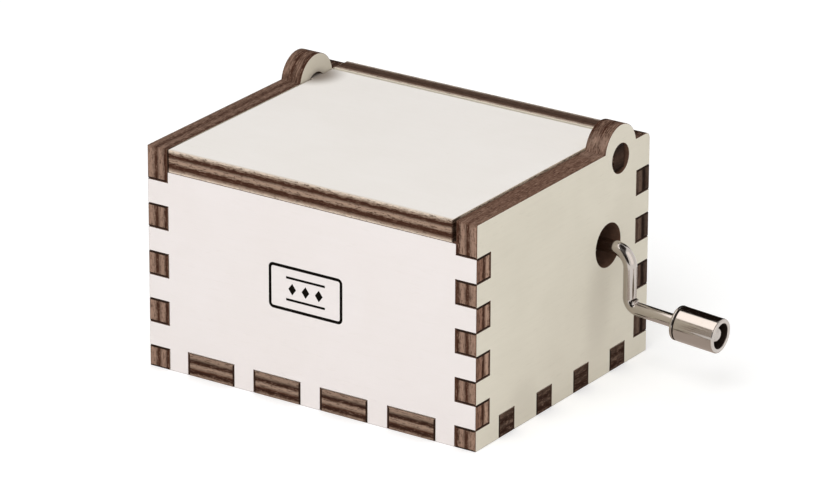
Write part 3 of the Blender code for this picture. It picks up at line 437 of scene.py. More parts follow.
@dataclass(frozen=True)
class CutEdge:
    """The laser-browned edge of a panel, with its veneers one over the other."""

    layers: tuple[Stop, ...] = PANEL_LAYERS
    char: float = 0.70
    ash: float = 0.45
    # Soot on the cut edge; on the lid it carries painted shade instead.
    soot_and_shade: tuple[Smudge, ...] = ()
    fuzz: float = 0.08
    relief: float = 0.00004

    def material(self, name: str, axis: Axis, outer: float, inner: float) -> Material:
        """Builds the material for one board.

        Args:
            name: The material's name.
            axis: The axis across the board.
            outer: Where the board's outer face lies along it.
            inner: Where its inner face lies.

        Returns:
            The material, ready for a piece.
        """
        sheet = new_sheet(name)
        wave = sheet.noise(even(420.0), 2.0, 0.5)
        fibres = sheet.noise(axis.stretch(5000.0, 700.0), 4.0, 0.6)
        grains = sheet.noise(even(2300.0), 2.0, 0.6, 0.3)
        depth = (sheet.coordinate(axis) - outer) * (1 / (inner - outer))
        depth = depth + (wave - 0.5) * 0.07 + (grains - 0.5) * 0.05 + (fibres - 0.5) * self.fuzz
        colour = sheet.ramp(depth, self.layers)
        for smudge in self.soot_and_shade:
            colour = sheet.mix(smudge.mask(sheet), colour, smudge.tone)
        mottle = fibres * 0.75 + grains * 0.25
        colour = sheet.mix(sheet.between(mottle, 0.49, 0.62) * self.char, colour, scaled(DARK_BROWN, 0.7))
        colour = sheet.mix(sheet.between(mottle, 0.49, 0.35) * self.ash, colour, scaled(MOTTLED_BROWN, 1.35))
        return sheet.surface(
            Base_Color=colour,
            Roughness=0.70 + (fibres - 0.5) * 0.2,
            Specular_IOR_Level=0.03,
            Normal=sheet.bump(fibres, self.relief),
        )


TENON_END = CutEdge(TENON_LAYERS, 0.3, 0.05)


@dataclass(frozen=True)
class Stain:
    """A burnt skin, a print or a dark painted shade that a fine noise makes lighter and darker."""

    name: str
    colour: Colour
    grains: float = 900.0
    octaves: float = 3.0
    fade: float = 0.6
    darkest: float = 0.45
    lightest: float = 1.6
    roughness: float = 0.75
    spread: float = 0.0
    shine: float = 0.05

    def material(self) -> Material:
        """Builds the material.

        Returns:
            The material, ready for a piece.
        """
        sheet = new_sheet(self.name)
        mottle = sheet.noise(even(self.grains), self.octaves, self.fade)
        colour = sheet.mix(mottle, scaled(self.colour, self.darkest), scaled(self.colour, self.lightest))
        roughness = self.roughness + mottle * self.spread
        return sheet.surface(Base_Color=colour, Roughness=roughness, Specular_IOR_Level=self.shine)


LABEL_INK = Stain("label_ink", (0.004, 0.003, 0.002), 2200.0, 3.0, 0.6, 0.5, 2.0, 0.7, 0.1, 0.02)
# Dark finish that paints shade into the knob's groove and mouth and the rod's crease; the mouth is partly its
# own dark colour.
DARK_BORE_AND_PAINTED_SHADE = Stain("dark_bore_and_painted_shade", (0.016, 0.010, 0.007), 1500.0, 2.0, 0.5, 0.6, 1.5, 0.55, 0.15, 0.1)
SCORCHED_CORNER = Stain("scorched_corner", (0.130, 0.072, 0.048))
CHARRED_CORNER = Stain("charred_corner", (0.036, 0.021, 0.014))
BURNT_RIM = Stain("burnt_rim", (0.022, 0.011, 0.007))
TOASTED_CORNER = Stain("toasted_corner", (0.62, 0.53, 0.44))


@dataclass(frozen=True)
class Metal:
    """A bare or plated metal with fine marks from its making."""

    name: str
    colour: Colour
    roughness: float
    marks: Point
    spread: float = 0.05
    tarnish: float = 0.12
    relief: float = 0.000002
    polish: float = 0.82

    def material(self) -> Material:
        """Builds the material.

        Returns:
            The material, ready for a piece.
        """
        sheet = new_sheet(self.name)
        marks = sheet.noise(self.marks, 4.0, 0.6)
        clouds = sheet.noise(even(260.0), 2.0, 0.5, 0.5)
        dull = sheet.between(clouds, 0.45, 0.75)
        colour = sheet.mix(dull * self.tarnish + (marks - 0.5) * 0.08, self.colour, scaled(self.colour, 0.55))
        return sheet.surface(
            Base_Color=colour,
            Metallic=self.polish,
            Roughness=self.roughness + (marks - 0.5) * self.spread + dull * self.spread * 0.5,
            Normal=sheet.bump(marks, self.relief),
        )


@dataclass(frozen=True)
class CastMetal:
    """The dull pebbled skin of a die casting."""

    name: str = "cast_zinc"
    colour: Colour = (0.58, 0.58, 0.57)
    relief: float = 0.00003

    def material(self) -> Material:
        """Builds the material.

        Returns:
            The material, ready for a piece.
        """
        sheet = new_sheet(self.name)
        skin = sheet.noise(even(2600.0), 3.0, 0.55)
        clouds = sheet.noise(even(180.0), 3.0, 0.6, 0.8)
        colour = sheet.mix(sheet.between(clouds, 0.38, 0.68), self.colour, scaled(self.colour, 0.72))
        return sheet.surface(
            Base_Color=colour,
            Metallic=0.9,
            Roughness=0.46 + (skin - 0.5) * 0.25,
            Normal=sheet.bump(skin, self.relief),
        )


@dataclass(frozen=True)
class Nylon:
    """Moulded natural nylon."""

    name: str = "white_nylon"
    colour: Colour = (0.86, 0.84, 0.78)
    relief: float = 0.000008

    def material(self) -> Material:
        """Builds the material.

        Returns:
            The material, ready for a piece.
        """
        sheet = new_sheet(self.name)
        clouds = sheet.noise(even(300.0), 2.0, 0.5)
        skin = sheet.noise(even(4200.0), 2.0, 0.5)
        colour = sheet.mix(clouds, scaled(self.colour, 0.93), self.colour)
        return sheet.surface(
            Base_Color=colour,
            Roughness=0.36 + (skin - 0.5) * 0.15,
            Specular_IOR_Level=0.5,
            Normal=sheet.bump(skin, self.relief),
        )


YELLOW_BRASS = (0.80, 0.63, 0.35)
NICKEL = Metal("nickel_plate", (0.51, 0.464, 0.428), 0.13, even(700.0), 0.03, 0.10, 0.0000002, 1.0)
BRASS = Metal("turned_brass", YELLOW_BRASS, 0.20, (500.0, 7000.0, 500.0), 0.12, 0.18)
WORM_BRASS = Metal("cut_brass", YELLOW_BRASS, 0.22, (6000.0, 600.0, 600.0), 0.10, 0.15)
GROUND_STEEL = Metal("ground_steel", (0.66, 0.67, 0.68), 0.34, (300.0, 6500.0, 1500.0), 0.14, 0.10)
SHEET_STEEL = Metal("sheet_steel", (0.62, 0.61, 0.59), 0.40, (1800.0, 900.0, 900.0), 0.10, 0.14)
SCREW_STEEL = Metal("screw_steel", (0.60, 0.58, 0.55), 0.27, (2200.0, 2200.0, 400.0), 0.10, 0.18)
PIN_STEEL = Metal("pin_steel", (0.52, 0.52, 0.52), 0.22, even(3000.0), 0.08, 0.10)
LEAD = Metal("lead_weight", (0.27, 0.28, 0.30), 0.48, even(2000.0), 0.12, 0.30, 0.00001)


# Shapes

MERGE_DISTANCE = 1e-7
FLAT_ANGLE = math.radians(0.5)
SMOOTH_ANGLE = math.radians(38)
CORNER_ANGLE = math.radians(60)


def cad_shape(node: str) -> Mesh:
    """The shape of a CAD node, its doubled corners merged and its flat faces whole.

    Args:
        node: The CAD node's name.

    Returns:
        A mesh of its own.
    """
    bm = bmesh.new()
    bm.from_mesh(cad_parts[node].data)
    bmesh.ops.remove_doubles(bm, verts=bm.verts, dist=MERGE_DISTANCE)
    bmesh.ops.dissolve_limit(bm, angle_limit=FLAT_ANGLE, verts=bm.verts, edges=bm.edges)
    bm.normal_update()
    return bm


def soften(bm: Mesh, edges: Iterable[Edge], width: float) -> set[Face]:
    """Rounds edges of a mesh.

    Args:
        bm: The mesh.
        edges: The edges that are rounded.
        width: The rounding's width.

    Returns:
        The faces of the roundings.
    """
    made = bmesh.ops.bevel(
        bm,
        geom=list(edges),
        offset=width,
        offset_type="OFFSET",
        segments=2,
        profile=0.5,
        affect="EDGES",
        clamp_overlap=True,
    )
    bm.normal_update()
    return set(made["faces"])


def sharp_edges(bm: Mesh, least: float = SMOOTH_ANGLE) -> list[Edge]:
    """The edges whose two faces turn by more than an angle."""
    return [edge for edge in bm.edges if len(edge.link_faces) == 2 and edge.calc_face_angle() > least]


def new_object(name: str, data: bpy.types.ID) -> bpy.types.Object:
    """Makes an object and puts it into the scene.

    Args:
        name: The object's name.
        data: Its mesh, light or camera.

    Returns:
        The object.
    """
    obj = bpy.data.objects.new(name, data)
    bpy.context.scene.collection.objects.link(obj)
    return obj


def aim(obj: bpy.types.Object, place: Vector, direction: Vector, forward: str = "-Z") -> None:
    """Moves an object to a place and turns its forward axis to a direction.

    Args:
        obj: The object.
        place: Where it goes.
        direction: Where it looks.
        forward: Which of its own axes looks there.
    """
    obj.location = place
    obj.rotation_mode = "QUATERNION"
    obj.rotation_quaternion = direction.to_track_quat(forward, "Y")


def new_piece(name: str, bm: Mesh, materials: Iterable[Material]) -> bpy.types.Object:
    """Turns a mesh into a shown object.

    Args:
        name: The object's name.
        bm: The mesh, which is freed.
        materials: Its materials, in the order that its faces number them.

    Returns:
        The object.
    """
    mesh = bpy.data.meshes.new(name)
    bm.to_mesh(mesh)
    bm.free()
    mesh.shade_smooth()
    mesh.set_sharp_from_angle(angle=SMOOTH_ANGLE)
    for material in materials:
        mesh.materials.append(material)
    obj = new_object(name, mesh)
    shading = obj.modifiers.new("even_shading", "WEIGHTED_NORMAL")
    shading.keep_sharp = True
    return obj


def settle(
    piece: bpy.types.Object, body: str, node: Optional[str] = None
) -> None:
    """Lets a piece ride on a body and stand for a CAD node.

    Args:
        piece: The piece.
        body: The CAD body that it moves with.
        node: The CAD node that it stands for.
    """
    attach(piece, body)
    if node is not None:
        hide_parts(node)
    LOG.info("%s rides on %s: %d faces", piece.name, body, len(piece.data.polygons))


def ring_of(centre: Vector, first: Vector, second: Vector, radii: Iterable[float]) -> list[Vector]:
    """Points round a centre.

    Args:
        centre: The centre.
        first: The direction of the first point.
        second: The direction a quarter turn on.
        radii: How far out each point lies.

    Returns:
        The points, one for each radius.
    """
    radii = list(radii)
    turn = 2 * math.pi / len(radii)
    directions = (first * math.cos(i * turn) + second * math.sin(i * turn) for i in range(len(radii)))
    return [centre + direction * radius for direction, radius in zip(directions, radii)]


def skin_rings(bm: Mesh, rings: list[list[Vector]], close_ends: bool) -> list[list[Face]]:
    """Skins rings of points that follow one another.

    Args:
        bm: The mesh that gets the faces.
        rings: Rings of equal length.
        close_ends: Whether the first and last ring get a cap, or else join each other.

    Returns:
        The faces of each band, in order.
    """
    corners = [[bm.verts.new(point) for point in ring] for ring in rings]
    pairs = list(zip(corners, corners[1:]))
    if not close_ends:
        pairs.append((corners[-1], corners[0]))
    bands = []
    for lower, upper in pairs:
        count = len(lower)
        around = ((i, (i + 1) % count) for i in range(count))
        bands.append([bm.faces.new((lower[i], lower[j], upper[j], upper[i])) for i, j in around])
    if close_ends:
        bm.faces.new(list(reversed(corners[0])))
        bm.faces.new(corners[-1])
    bmesh.ops.recalc_face_normals(bm, faces=bm.faces)
    return bands


def arc_points(centre: Pair, radius: float, start: float, end: float, steps: int) -> list[Pair]:
    """Points on a circle from one angle to another, both included."""
    angles = (start + (end - start) * step / steps for step in range(steps + 1))
    return [(centre[0] + radius * math.cos(a), centre[1] + radius * math.sin(a)) for a in angles]


# The case


class BoardFace(Enum):
    """The kinds of face on a board, by the number of their finish."""

    VENEER = 0
    EDGE = 1
    SCORCHED = 2
    CHARRED = 3
    RIM = 4
    TENON_END = 5


@dataclass(frozen=True)
class Bore:
    """A round hole through a side panel."""

    rear: float
    height: float
    radius: float
    slack: float = 1.03

    def holds(self, place: Vector) -> bool:
        """Whether a place lies on the bore's wall or within it."""
        return math.hypot(place.y - self.rear, place.z - self.height) < self.radius * self.slack


HINGE_BORE = Bore(0.0167, 0.03675, 0.00255)
CRANK_PORT = Bore(0.0133, 0.0227, 0.00375)


@dataclass
class Panel:
    """One plywood board, which stands for the CAD node of its name."""

    node: str
    axis: Axis
    outer_is_high: bool
    veneer: Veneer
    edge: CutEdge = CutEdge()
    body: str = "case"
    corner: float = 0.000065
    rim: float = 0.000180
    joints_top: float = 0.0335
    tenon_reach: float = 0.0300
    shortest_rim: float = 0.00072
    flat_lean: float = 0.995
    corner_lean: float = 0.2

    def outer_and_inner(self) -> Pair:
        """Where the board's broad faces lie along its thickness.

        Returns:
            The place of the outer face, then of the inner one.
        """
        low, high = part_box(self.node)
        faces = (low[self.axis.value], high[self.axis.value])
        return tuple(reversed(faces)) if self.outer_is_high else faces

    def kind_of(self, face: Face, rounded: bool) -> BoardFace:
        """The kind of one face.

        Args:
            face: The face.
            rounded: Whether it belongs to a rounded corner.

        Returns:
            Its kind.
        """
        lean = abs(face.normal[self.axis.value])
        place = face.calc_center_median()
        if self.node == "lid" and abs(place.x) > self.tenon_reach and abs(face.normal.x) > self.corner_lean:
            return BoardFace.TENON_END
        if rounded and lean > self.corner_lean:
            above_joints = self.axis is Axis.Y and place.z > self.joints_top
            return BoardFace.VENEER if above_joints else BoardFace.SCORCHED
        if rounded:
            return BoardFace.CHARRED if place.z < self.joints_top else BoardFace.EDGE
        if lean > self.flat_lean:
            return BoardFace.VENEER
        if self.axis is Axis.X and (HINGE_BORE.holds(place) or CRANK_PORT.holds(place)):
            return BoardFace.SCORCHED
        return BoardFace.EDGE

    def build(self, burns: list[Material]) -> None:
        """Softens the board's corners and gives each face its finish.

        Args:
            burns: The finishes of the corners along the broad faces and of the bores, of the corners between
                fingers, and of the rim along the ends of each cut face.
        """
        bm = cad_shape(self.node)
        rounded = soften(bm, sharp_edges(bm, CORNER_ANGLE), self.corner)
        for face in bm.faces:
            face.material_index = self.kind_of(face, face in rounded).value
        cut = [face for face in bm.faces if face.material_index == BoardFace.EDGE.value]
        if self.rim:
            rims = bmesh.ops.inset_region(
                bm, faces=cut, thickness=self.rim, use_even_offset=True, use_boundary=True
            )
            for face in rims["faces"]:
                depths = [corner.co[self.axis.value] for corner in face.verts]
                if max(depths) - min(depths) > self.shortest_rim:
                    face.material_index = BoardFace.RIM.value
        across = (self.axis, *self.outer_and_inner())
        finishes = [self.veneer.material(), self.edge.material(f"{self.node}_edge", *across), *burns]
        if self.node == "lid":
            finishes[BoardFace.SCORCHED.value] = TOASTED_CORNER.material()
            finishes.append(TENON_END.material("tenon_end", *across))
        piece = new_piece(f"{self.node}_board", bm, finishes)
        settle(piece, self.body, self.node)


@dataclass
class Case:
    """The finger-jointed case and its lid, with the smoke stains of each board and the shade and shadows
    painted onto some boards.
    """

    pinkish_birch: Colour = (0.832, 0.776, 0.756)
    cream_birch: Colour = (0.880, 0.842, 0.802)
    beige_birch: Colour = (0.815, 0.760, 0.635)
    toasted_foot: Colour = (0.34, 0.235, 0.18)
    # Tone of the left ear's painted shadow on the lid, mixed with laser soot.
    ear_shadow_soot_tone: Colour = (0.200, 0.155, 0.120)
    side_face: float = 0.0320
    side_middle: float = 0.0300
    side_inside: float = 0.0281
    side_end: float = 0.0262
    tenon_middle: float = 0.0305
    edge_top: float = 0.0387
    lid_middle: float = 0.0368
    through_board: float = 0.0100
    along_rear: float = 0.4000
    skin: float = 0.0030
    outer_skin: float = 0.0040
    top_skin: float = 0.0012

    def side_soot(self, x: float, top: float, cover: float) -> tuple[Smudge, ...]:
        """The stains of a side panel's edge: its dark ear, its evenly toasted top and its black rear corner.

        Args:
            x: Where the panel stands.
            top: How light the toasted top is.
            cover: How far the toast hides the veneers.

        Returns:
            The smudges.
        """
        board = self.through_board
        ear = Smudge((x, HINGE_BORE.rear, 0.0420), (board, 0.0095, 0.0060), 0.62, DARK_BROWN)
        toast = Smudge((x, -0.0040, 0.0392), (board, 0.0600, 0.0013), cover, scaled(MEDIUM_BROWN, top))
        rear = Smudge((x, self.side_end, 0.0385), (board, 0.0075, 0.0040), 0.98, BLACK_BROWN)
        return ear, toast, rear

    def rear_soot(self) -> tuple[Smudge, ...]:
        """The brown and pale lines along the rear panel's top edge.

        Returns:
            The smudges.
        """
        lines = (
            (0.0243, 0.0011, 0.60, (0.120, 0.072, 0.050)),
            (0.0231, 0.0007, 0.55, DARK_BROWN),
            (0.0218, 0.0010, 0.88, (0.62, 0.49, 0.39)),
            (0.0257, 0.0008, 0.70, (0.55, 0.46, 0.38)),
        )
        return tuple(
            Smudge((0.0, y, self.edge_top), (self.along_rear, reach, self.top_skin), depth, tone)
            for y, reach, depth, tone in lines
        )

    def outside_painted_shade(self) -> tuple[Smudge, ...]:
        """The right panel's painted shade: the crank's shadow below the port, a faint darker patch by the
        front foot, and shade that darkens the face towards the bottom.

        Returns:
            The smudges.
        """
        return (
            # Painted shadow of the crank below the port.
            Smudge((self.side_face, 0.0105, 0.0125), (self.outer_skin, 0.0055, 0.0110), 0.16),
            # A faint darker patch near the front foot.
            Smudge((self.side_face, -0.0120, 0.0040), (self.outer_skin, 0.0060, 0.0055), 0.10),
            # Painted shade, darker towards the bottom of the panel.
            Smudge((self.side_face, -0.0020, -0.0060), (self.outer_skin, 0.0380, 0.0280), 0.12),
        )

    def inside_smudges(self) -> tuple[Smudge, ...]:
        """The left panel's inner face: a faint darker patch on the ear, a smoke halo round the bore, and
        painted shade at the front corner in the gap beside the lid.

        Returns:
            The smudges.
        """
        x, ear, middle = -self.side_inside, HINGE_BORE.rear, self.lid_middle
        return (
            Smudge((x, ear, 0.0385), (self.skin, 0.0110, 0.0090), 0.28),
            Smudge((x, ear, middle), (self.skin, 0.0038, 0.0038), 1.00, DARK_BROWN),
            # Painted shade in the gap between the lid's front end and this face.
            Smudge((x, -self.side_end, middle), (self.skin, 0.0080, 0.0060), 1.00, DARK_BROWN),
        )

    def lid_smudges(self) -> tuple[Smudge, ...]:
        """The dark tenons, and the left ear's painted shadow on the lid mixed with laser soot.

        Returns:
            The smudges.
        """
        # Painted shadow of the left ear on the lid, partly laser soot.
        ear_shadow_and_soot = Smudge((-0.0284, 0.0172, self.edge_top), (0.0056, 0.0062, 0.0025), 0.85, self.ear_shadow_soot_tone)
        tenons = (
            Smudge((x, HINGE_BORE.rear, self.lid_middle), (0.0026, 0.0100, 0.0100), 1.0, DARK_BROWN)
            for x in (-self.tenon_middle, self.tenon_middle)
        )
        return (*tenons, ear_shadow_and_soot)

    def panels(self) -> list[Panel]:
        """The six boards.

        Returns:
            The boards, in the order in which they are built.
        """
        lid_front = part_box("lid")[0].y
        front = Veneer("front_veneer", self.pinkish_birch, Axis.X, 0.012)
        rear = Veneer("rear_veneer", self.beige_birch, Axis.X, 0.030)
        left = Veneer("left_veneer", self.beige_birch, Axis.Y, 0.030, smudges=self.inside_smudges())
        right = Veneer("right_veneer", self.beige_birch, Axis.Y, 0.036, smudges=self.outside_painted_shade())
        bottom = Veneer("bottom_veneer", self.beige_birch, Axis.X, 0.035)
        top = Veneer("lid_veneer", self.cream_birch, Axis.X, 0.014, lid_front, smudges=self.lid_smudges())
        foot_reach = (self.through_board, 0.0035, 0.0030)
        foot = Smudge((self.side_middle, 0.0110, 0.0405), foot_reach, 0.60, self.toasted_foot)
        tabs = Smudge((self.side_face, 0.0, 0.002), (self.skin, 0.06, 0.02), 0.8, scaled(DARK_BROWN, 0.5))
        # Painted shade: the lid's right end at the front, seen through the gap beside the right panel, is
        # painted near black.
        corner = Smudge((0.0276, lid_front, self.lid_middle), (0.0006, 0.0040, 0.1000), 1.0, BLACK_BROWN)
        left_soot = self.side_soot(-self.side_middle, 0.45, 0.80)
        right_soot = (*self.side_soot(self.side_middle, 0.63, 1.12), foot)
        return [
            Panel("front_panel", Axis.Y, False, front, CutEdge(FRONT_LAYERS)),
            Panel("rear_panel", Axis.Y, True, rear, CutEdge(REAR_LAYERS, ash=0.06, soot_and_shade=self.rear_soot())),
            Panel("left_panel", Axis.X, False, left, CutEdge(soot_and_shade=left_soot)),
            Panel("right_panel", Axis.X, True, right, CutEdge(soot_and_shade=right_soot)),
            Panel("bottom_panel", Axis.Z, False, bottom, CutEdge(TAB_LAYERS, ash=0.35, soot_and_shade=(tabs,))),
            Panel("lid", Axis.Z, True, top, CutEdge(LID_LAYERS, 0.75, 0.20, (corner,), 0.22), "lid", rim=0.0),
        ]

    def build(self) -> None:
        """Builds the boards."""
        burns = [burn.material() for burn in (SCORCHED_CORNER, CHARRED_CORNER, BURNT_RIM)]
        for panel in self.panels():
            panel.build(burns)


@dataclass
class Label:
    """The label's border on the front, with a plain row of lozenges between two rules."""

    centre_x: float = -0.00084
    centre_z: float = 0.01983
    width: float = 0.0144
    height: float = 0.0079
    corner: float = 0.0009
    line: float = 0.00052
    relief: float = 0.000015
    lozenge_width: float = 0.0015
    lozenge_height: float = 0.0020
    lozenge_pitch: float = 0.0026
    rule_width: float = 0.0076
    rule_height: float = 0.0004
    rule_offset: float = 0.0019
    corner_steps: int = 8

    def rounded(self, inset: float) -> list[Pair]:
        """The border's outline with its round corners.

        Args:
            inset: How far it is moved in.

        Returns:
            The outline's points.
        """
        half_x, half_z = self.width / 2 - inset, self.height / 2 - inset
        radius = self.corner - inset
        outline = []
        for quarter, (sign_x, sign_z) in enumerate(((1, 1), (-1, 1), (-1, -1), (1, -1))):
            centre = (sign_x * (half_x - radius), sign_z * (half_z - radius))
            start = quarter * math.pi / 2
            outline += arc_points(centre, radius, start, start + math.pi / 2, self.corner_steps)
        return outline

    def lozenge(self, x: float) -> list[Pair]:
        """The outline of one lozenge."""
        half_x, half_z = self.lozenge_width / 2, self.lozenge_height / 2
        return [(x + half_x, 0.0), (x, half_z), (x - half_x, 0.0), (x, -half_z)]

    def rule(self, z: float) -> list[Pair]:
        """The outline of one rule."""
        half_x, half_z = self.rule_width / 2, self.rule_height / 2
        return [(half_x, z + half_z), (-half_x, z + half_z), (-half_x, z - half_z), (half_x, z - half_z)]

    def build(self) -> None:
        """Lays the label's lines on the front panel."""
        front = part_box("front_panel")[0].y
        bm = bmesh.new()

        def corner(point: Pair, lift: float) -> Vector:
            """One point of a line, on the panel or lifted off it."""
            return Vector((self.centre_x + point[0], front - lift, self.centre_z + point[1]))

        outside, inside = self.rounded(0.0), self.rounded(self.line)
        walls = ((outside, 0.0), (outside, self.relief), (inside, self.relief), (inside, 0.0))
        rings = [[corner(point, lift) for point in outline] for outline, lift in walls]
        skin_rings(bm, rings, close_ends=False)
        marks = [self.lozenge(step * self.lozenge_pitch) for step in (-1, 0, 1)]
        marks += [self.rule(side * self.rule_offset) for side in (-1, 1)]
        for outline in marks:
            rings = [[corner(point, lift) for point in outline] for lift in (0.0, self.relief)]
            skin_rings(bm, rings, close_ends=True)
        settle(new_piece("label_lines", bm, (LABEL_INK.material(),)), "case")


# The crank


@dataclass
class Crank:
    """The bent nickel rod and the knob that turns on it."""

    side: float = 0.0320
    rear: float = CRANK_PORT.rear
    height: float = CRANK_PORT.height
    rod_radius: float = 0.00115
    to_first_bend: float = 0.0013
    first_bend: float = 0.0030
    arm_drop: float = 0.0099
    second_bend: float = 0.0018
    droop: float = math.radians(4.0)
    knob_from_arm: float = 0.0093
    knob_length: float = 0.0083
    knob_radius: float = 0.00295
    knob_end_round: float = 0.0004
    groove_from_end: float = 0.0006
    groove_width: float = 0.0003
    groove_depth: float = 0.0002
    rim_round: float = 0.0003
    mouth_radius: float = 0.00215
    mouth_depth: float = 0.0015
    bore_gap: float = 0.0001
    head_radius: float = 0.00155
    head_thickness: float = 0.00110
    pinch_height: float = 0.00042
    pinch_length: float = 0.00046
    pinch_place: float = 0.60
    pinch_focus: int = 4
    creases: tuple[Pair, Pair] = ((0.35, 1.7), (0.70, -1.6))
    # Where along the rod the crease beside the pinch is painted dark as shadow.
    painted_crease_shadow: Pair = (-2.6, -0.7)
    crease_facing: float = 0.55
    dome_angle: float = math.radians(84)
    rod_sides: int = 40
    knob_sides: int = 96
    bend_steps: int = 28
    dome_steps: int = 10
    round_steps: int = 8
    lip_steps: int = 6

    def leg(self) -> Vector:
        """The way the outer leg points."""
        return Vector((math.cos(self.droop), 0.0, -math.sin(self.droop)))

    def path(self) -> list[Vector]:
        """The rod's centre line up to the end of its second bend.

        Returns:
            Its points, from the rod's inner end.
        """
        first = (self.side + self.to_first_bend, self.height - self.first_bend)
        second_height = self.height - self.arm_drop + self.second_bend
        second = (first[0] + self.first_bend + self.second_bend, second_height)
        points = [(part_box("crank_rod")[0].x, self.height)]
        points += arc_points(first, self.first_bend, math.pi / 2, 0.0, self.bend_steps)
        last = 3 * math.pi / 2 - self.droop
        points += arc_points(second, self.second_bend, math.pi, last, self.bend_steps)
        return [Vector((x, self.rear, z)) for x, z in points]

    def knob_start(self) -> Vector:
        """Where the leg enters the knob."""
        return self.path()[-1] + self.leg() * (self.knob_from_arm - self.second_bend)

    def from_pinch(self, index: float, count: int) -> float:
        """How far a station of the second bend lies from the pinch.

        Args:
            index: The station along the rod.
            count: How many stations the bends have.

        Returns:
            The way along the rod, in pinch lengths.
        """
        middle = count - 1 - self.bend_steps * self.pinch_place
        arc = self.second_bend * (math.pi / 2 - self.droop)
        return (index - middle) * arc / self.bend_steps / self.pinch_length

    def pinch(self, index: int, count: int, facing: float) -> float:
        """How far the rod's skin bulges where the second bend squeezes it.

        Args:
            index: The station along the rod.
            count: How many stations the bends have.
            facing: How squarely the skin faces the inside of the bend, up to 1.

        Returns:
            The bulge's height, below zero in the crease beside it.
        """
        reach = self.from_pinch(index, count)
        wave = math.exp(-reach * reach)
        for depth, place in self.creases:
            wave -= depth * math.exp(-((reach - place) ** 2))
        return self.pinch_height * wave * max(facing, 0.0) ** self.pinch_focus

    def heading(self, path: list[Vector], index: int) -> Vector:
        """Which way the rod runs at a station.

        Args:
            path: The centre line of the bends.
            index: The station, counted on past the bends.

        Returns:
            The direction, level at the start and along the leg past the bends.
        """
        if index == 0:
            return Vector((1.0, 0.0, 0.0))
        if index >= len(path) - 1:
            return self.leg()
        return (path[index + 1] - path[index - 1]).normalized()

    def rod(self, nickel: Material, dark: Material) -> None:
        """Builds the rod with its domed end and the painted shadow in the crease beside its pinch.

        Args:
            nickel: The plating.
            dark: The painted shadow in the crease.
        """
        path = self.path()
        leg, across = self.leg(), Vector((0.0, 1.0, 0.0))
        inward = Vector((math.sin(math.pi / 4), 0.0, math.cos(math.pi / 4)))
        neck = self.knob_start() + leg * (self.knob_length - self.mouth_depth + self.bore_gap)
        dome = arc_points((0.0, 0.0), 1.0, 0.0, self.dome_angle, self.dome_steps)
        stations = [(point, self.rod_radius) for point in path]
        stations += [(neck, self.rod_radius), (neck, self.head_radius)]
        stations += [(neck + leg * self.head_thickness * z, self.head_radius * r) for r, z in dome]
        rings = []
        for index, (point, radius) in enumerate(stations):
            upward = across.cross(self.heading(path, index)).normalized()
            bends_again = self.bend_steps < index < len(path)
            radii = []
            for step in range(self.rod_sides):
                angle = 2 * math.pi * step / self.rod_sides
                facing = (across * math.cos(angle) + upward * math.sin(angle)).dot(inward)
                bulge = self.pinch(index, len(path), facing) if bends_again else 0.0
                radii.append(radius + bulge)
            rings.append(ring_of(point, across, upward, radii))
        # Painted shadow: the crease faces that face into the bend get the dark material.
        start, end = self.painted_crease_shadow
        bm = bmesh.new()
        for number, band in enumerate(skin_rings(bm, rings, close_ends=True)):
            place = self.from_pinch(number + 0.5, len(path))
            if self.bend_steps + 1 < number < len(path) and start < place < end:
                for face in band:
                    face.material_index = 1 if face.normal.dot(inward) > self.crease_facing else 0
        settle(new_piece("crank_bent_rod", bm, (nickel, dark)), "crank", "crank_rod")

    def knob_profile(self) -> tuple[list[Pair], set[int]]:
        """The knob's profile as radius and distance from its inner end.

        Returns:
            The profile's points, and the numbers of the bands that lie in the groove or in the mouth.
        """
        bore = self.rod_radius + self.bore_gap
        start, end = self.groove_from_end, self.groove_from_end + self.groove_width
        lip = self.groove_width / 4
        floor = self.knob_radius - self.groove_depth
        length, rim, back = self.knob_length, self.rim_round, self.knob_end_round
        profile = [(bore, 0.0)]
        profile += arc_points((self.knob_radius - back, back), back, -math.pi / 2, 0.0, self.round_steps)
        profile += [(self.knob_radius, start - lip)]
        first_dark = len(profile)
        profile += [(self.knob_radius - lip / 2, start), (floor, start), (floor, end)]
        profile += [(self.knob_radius - lip / 2, end)]
        last_dark = len(profile) - 1
        profile += [(self.knob_radius, end + lip)]
        profile += arc_points((self.knob_radius - rim, length - rim), rim, 0.0, math.pi / 2, self.round_steps)
        lip_centre = (self.mouth_radius + rim / 2, length - rim / 2)
        profile += arc_points(lip_centre, rim / 2, math.pi / 2, math.pi, self.lip_steps)
        mouth = len(profile) - 1
        profile += [(self.mouth_radius, length - self.mouth_depth), (bore, length - self.mouth_depth)]
        return profile, set(range(first_dark, last_dark)) | {mouth, mouth + 1, mouth + 2}

    def knob(self, nickel: Material, dark: Material) -> None:
        """Turns the knob.

        Args:
            nickel: The plating.
            dark: The painted shade in the groove, and the mouth's dark bore, partly its own colour and partly
                painted shade.
        """
        leg, across = self.leg(), Vector((0.0, 1.0, 0.0))
        upward = across.cross(leg)
        start = self.knob_start()
        profile, dark_bands = self.knob_profile()
        sides = self.knob_sides
        rings = [ring_of(start + leg * z, across, upward, [radius] * sides) for radius, z in profile]
        bm = bmesh.new()
        for number, band in enumerate(skin_rings(bm, rings, close_ends=False)):
            for face in band:
                face.material_index = 1 if number in dark_bands else 0
        settle(new_piece("crank_turned_knob", bm, (nickel, dark)), "knob", "crank_knob")

    def build(self) -> None:
        """Builds the rod and the knob."""
        nickel, dark = NICKEL.material(), DARK_BORE_AND_PAINTED_SHADE.material()
        self.rod(nickel, dark)
        self.knob(nickel, dark)


# The movement


FaceRule = Callable[[Face], bool]


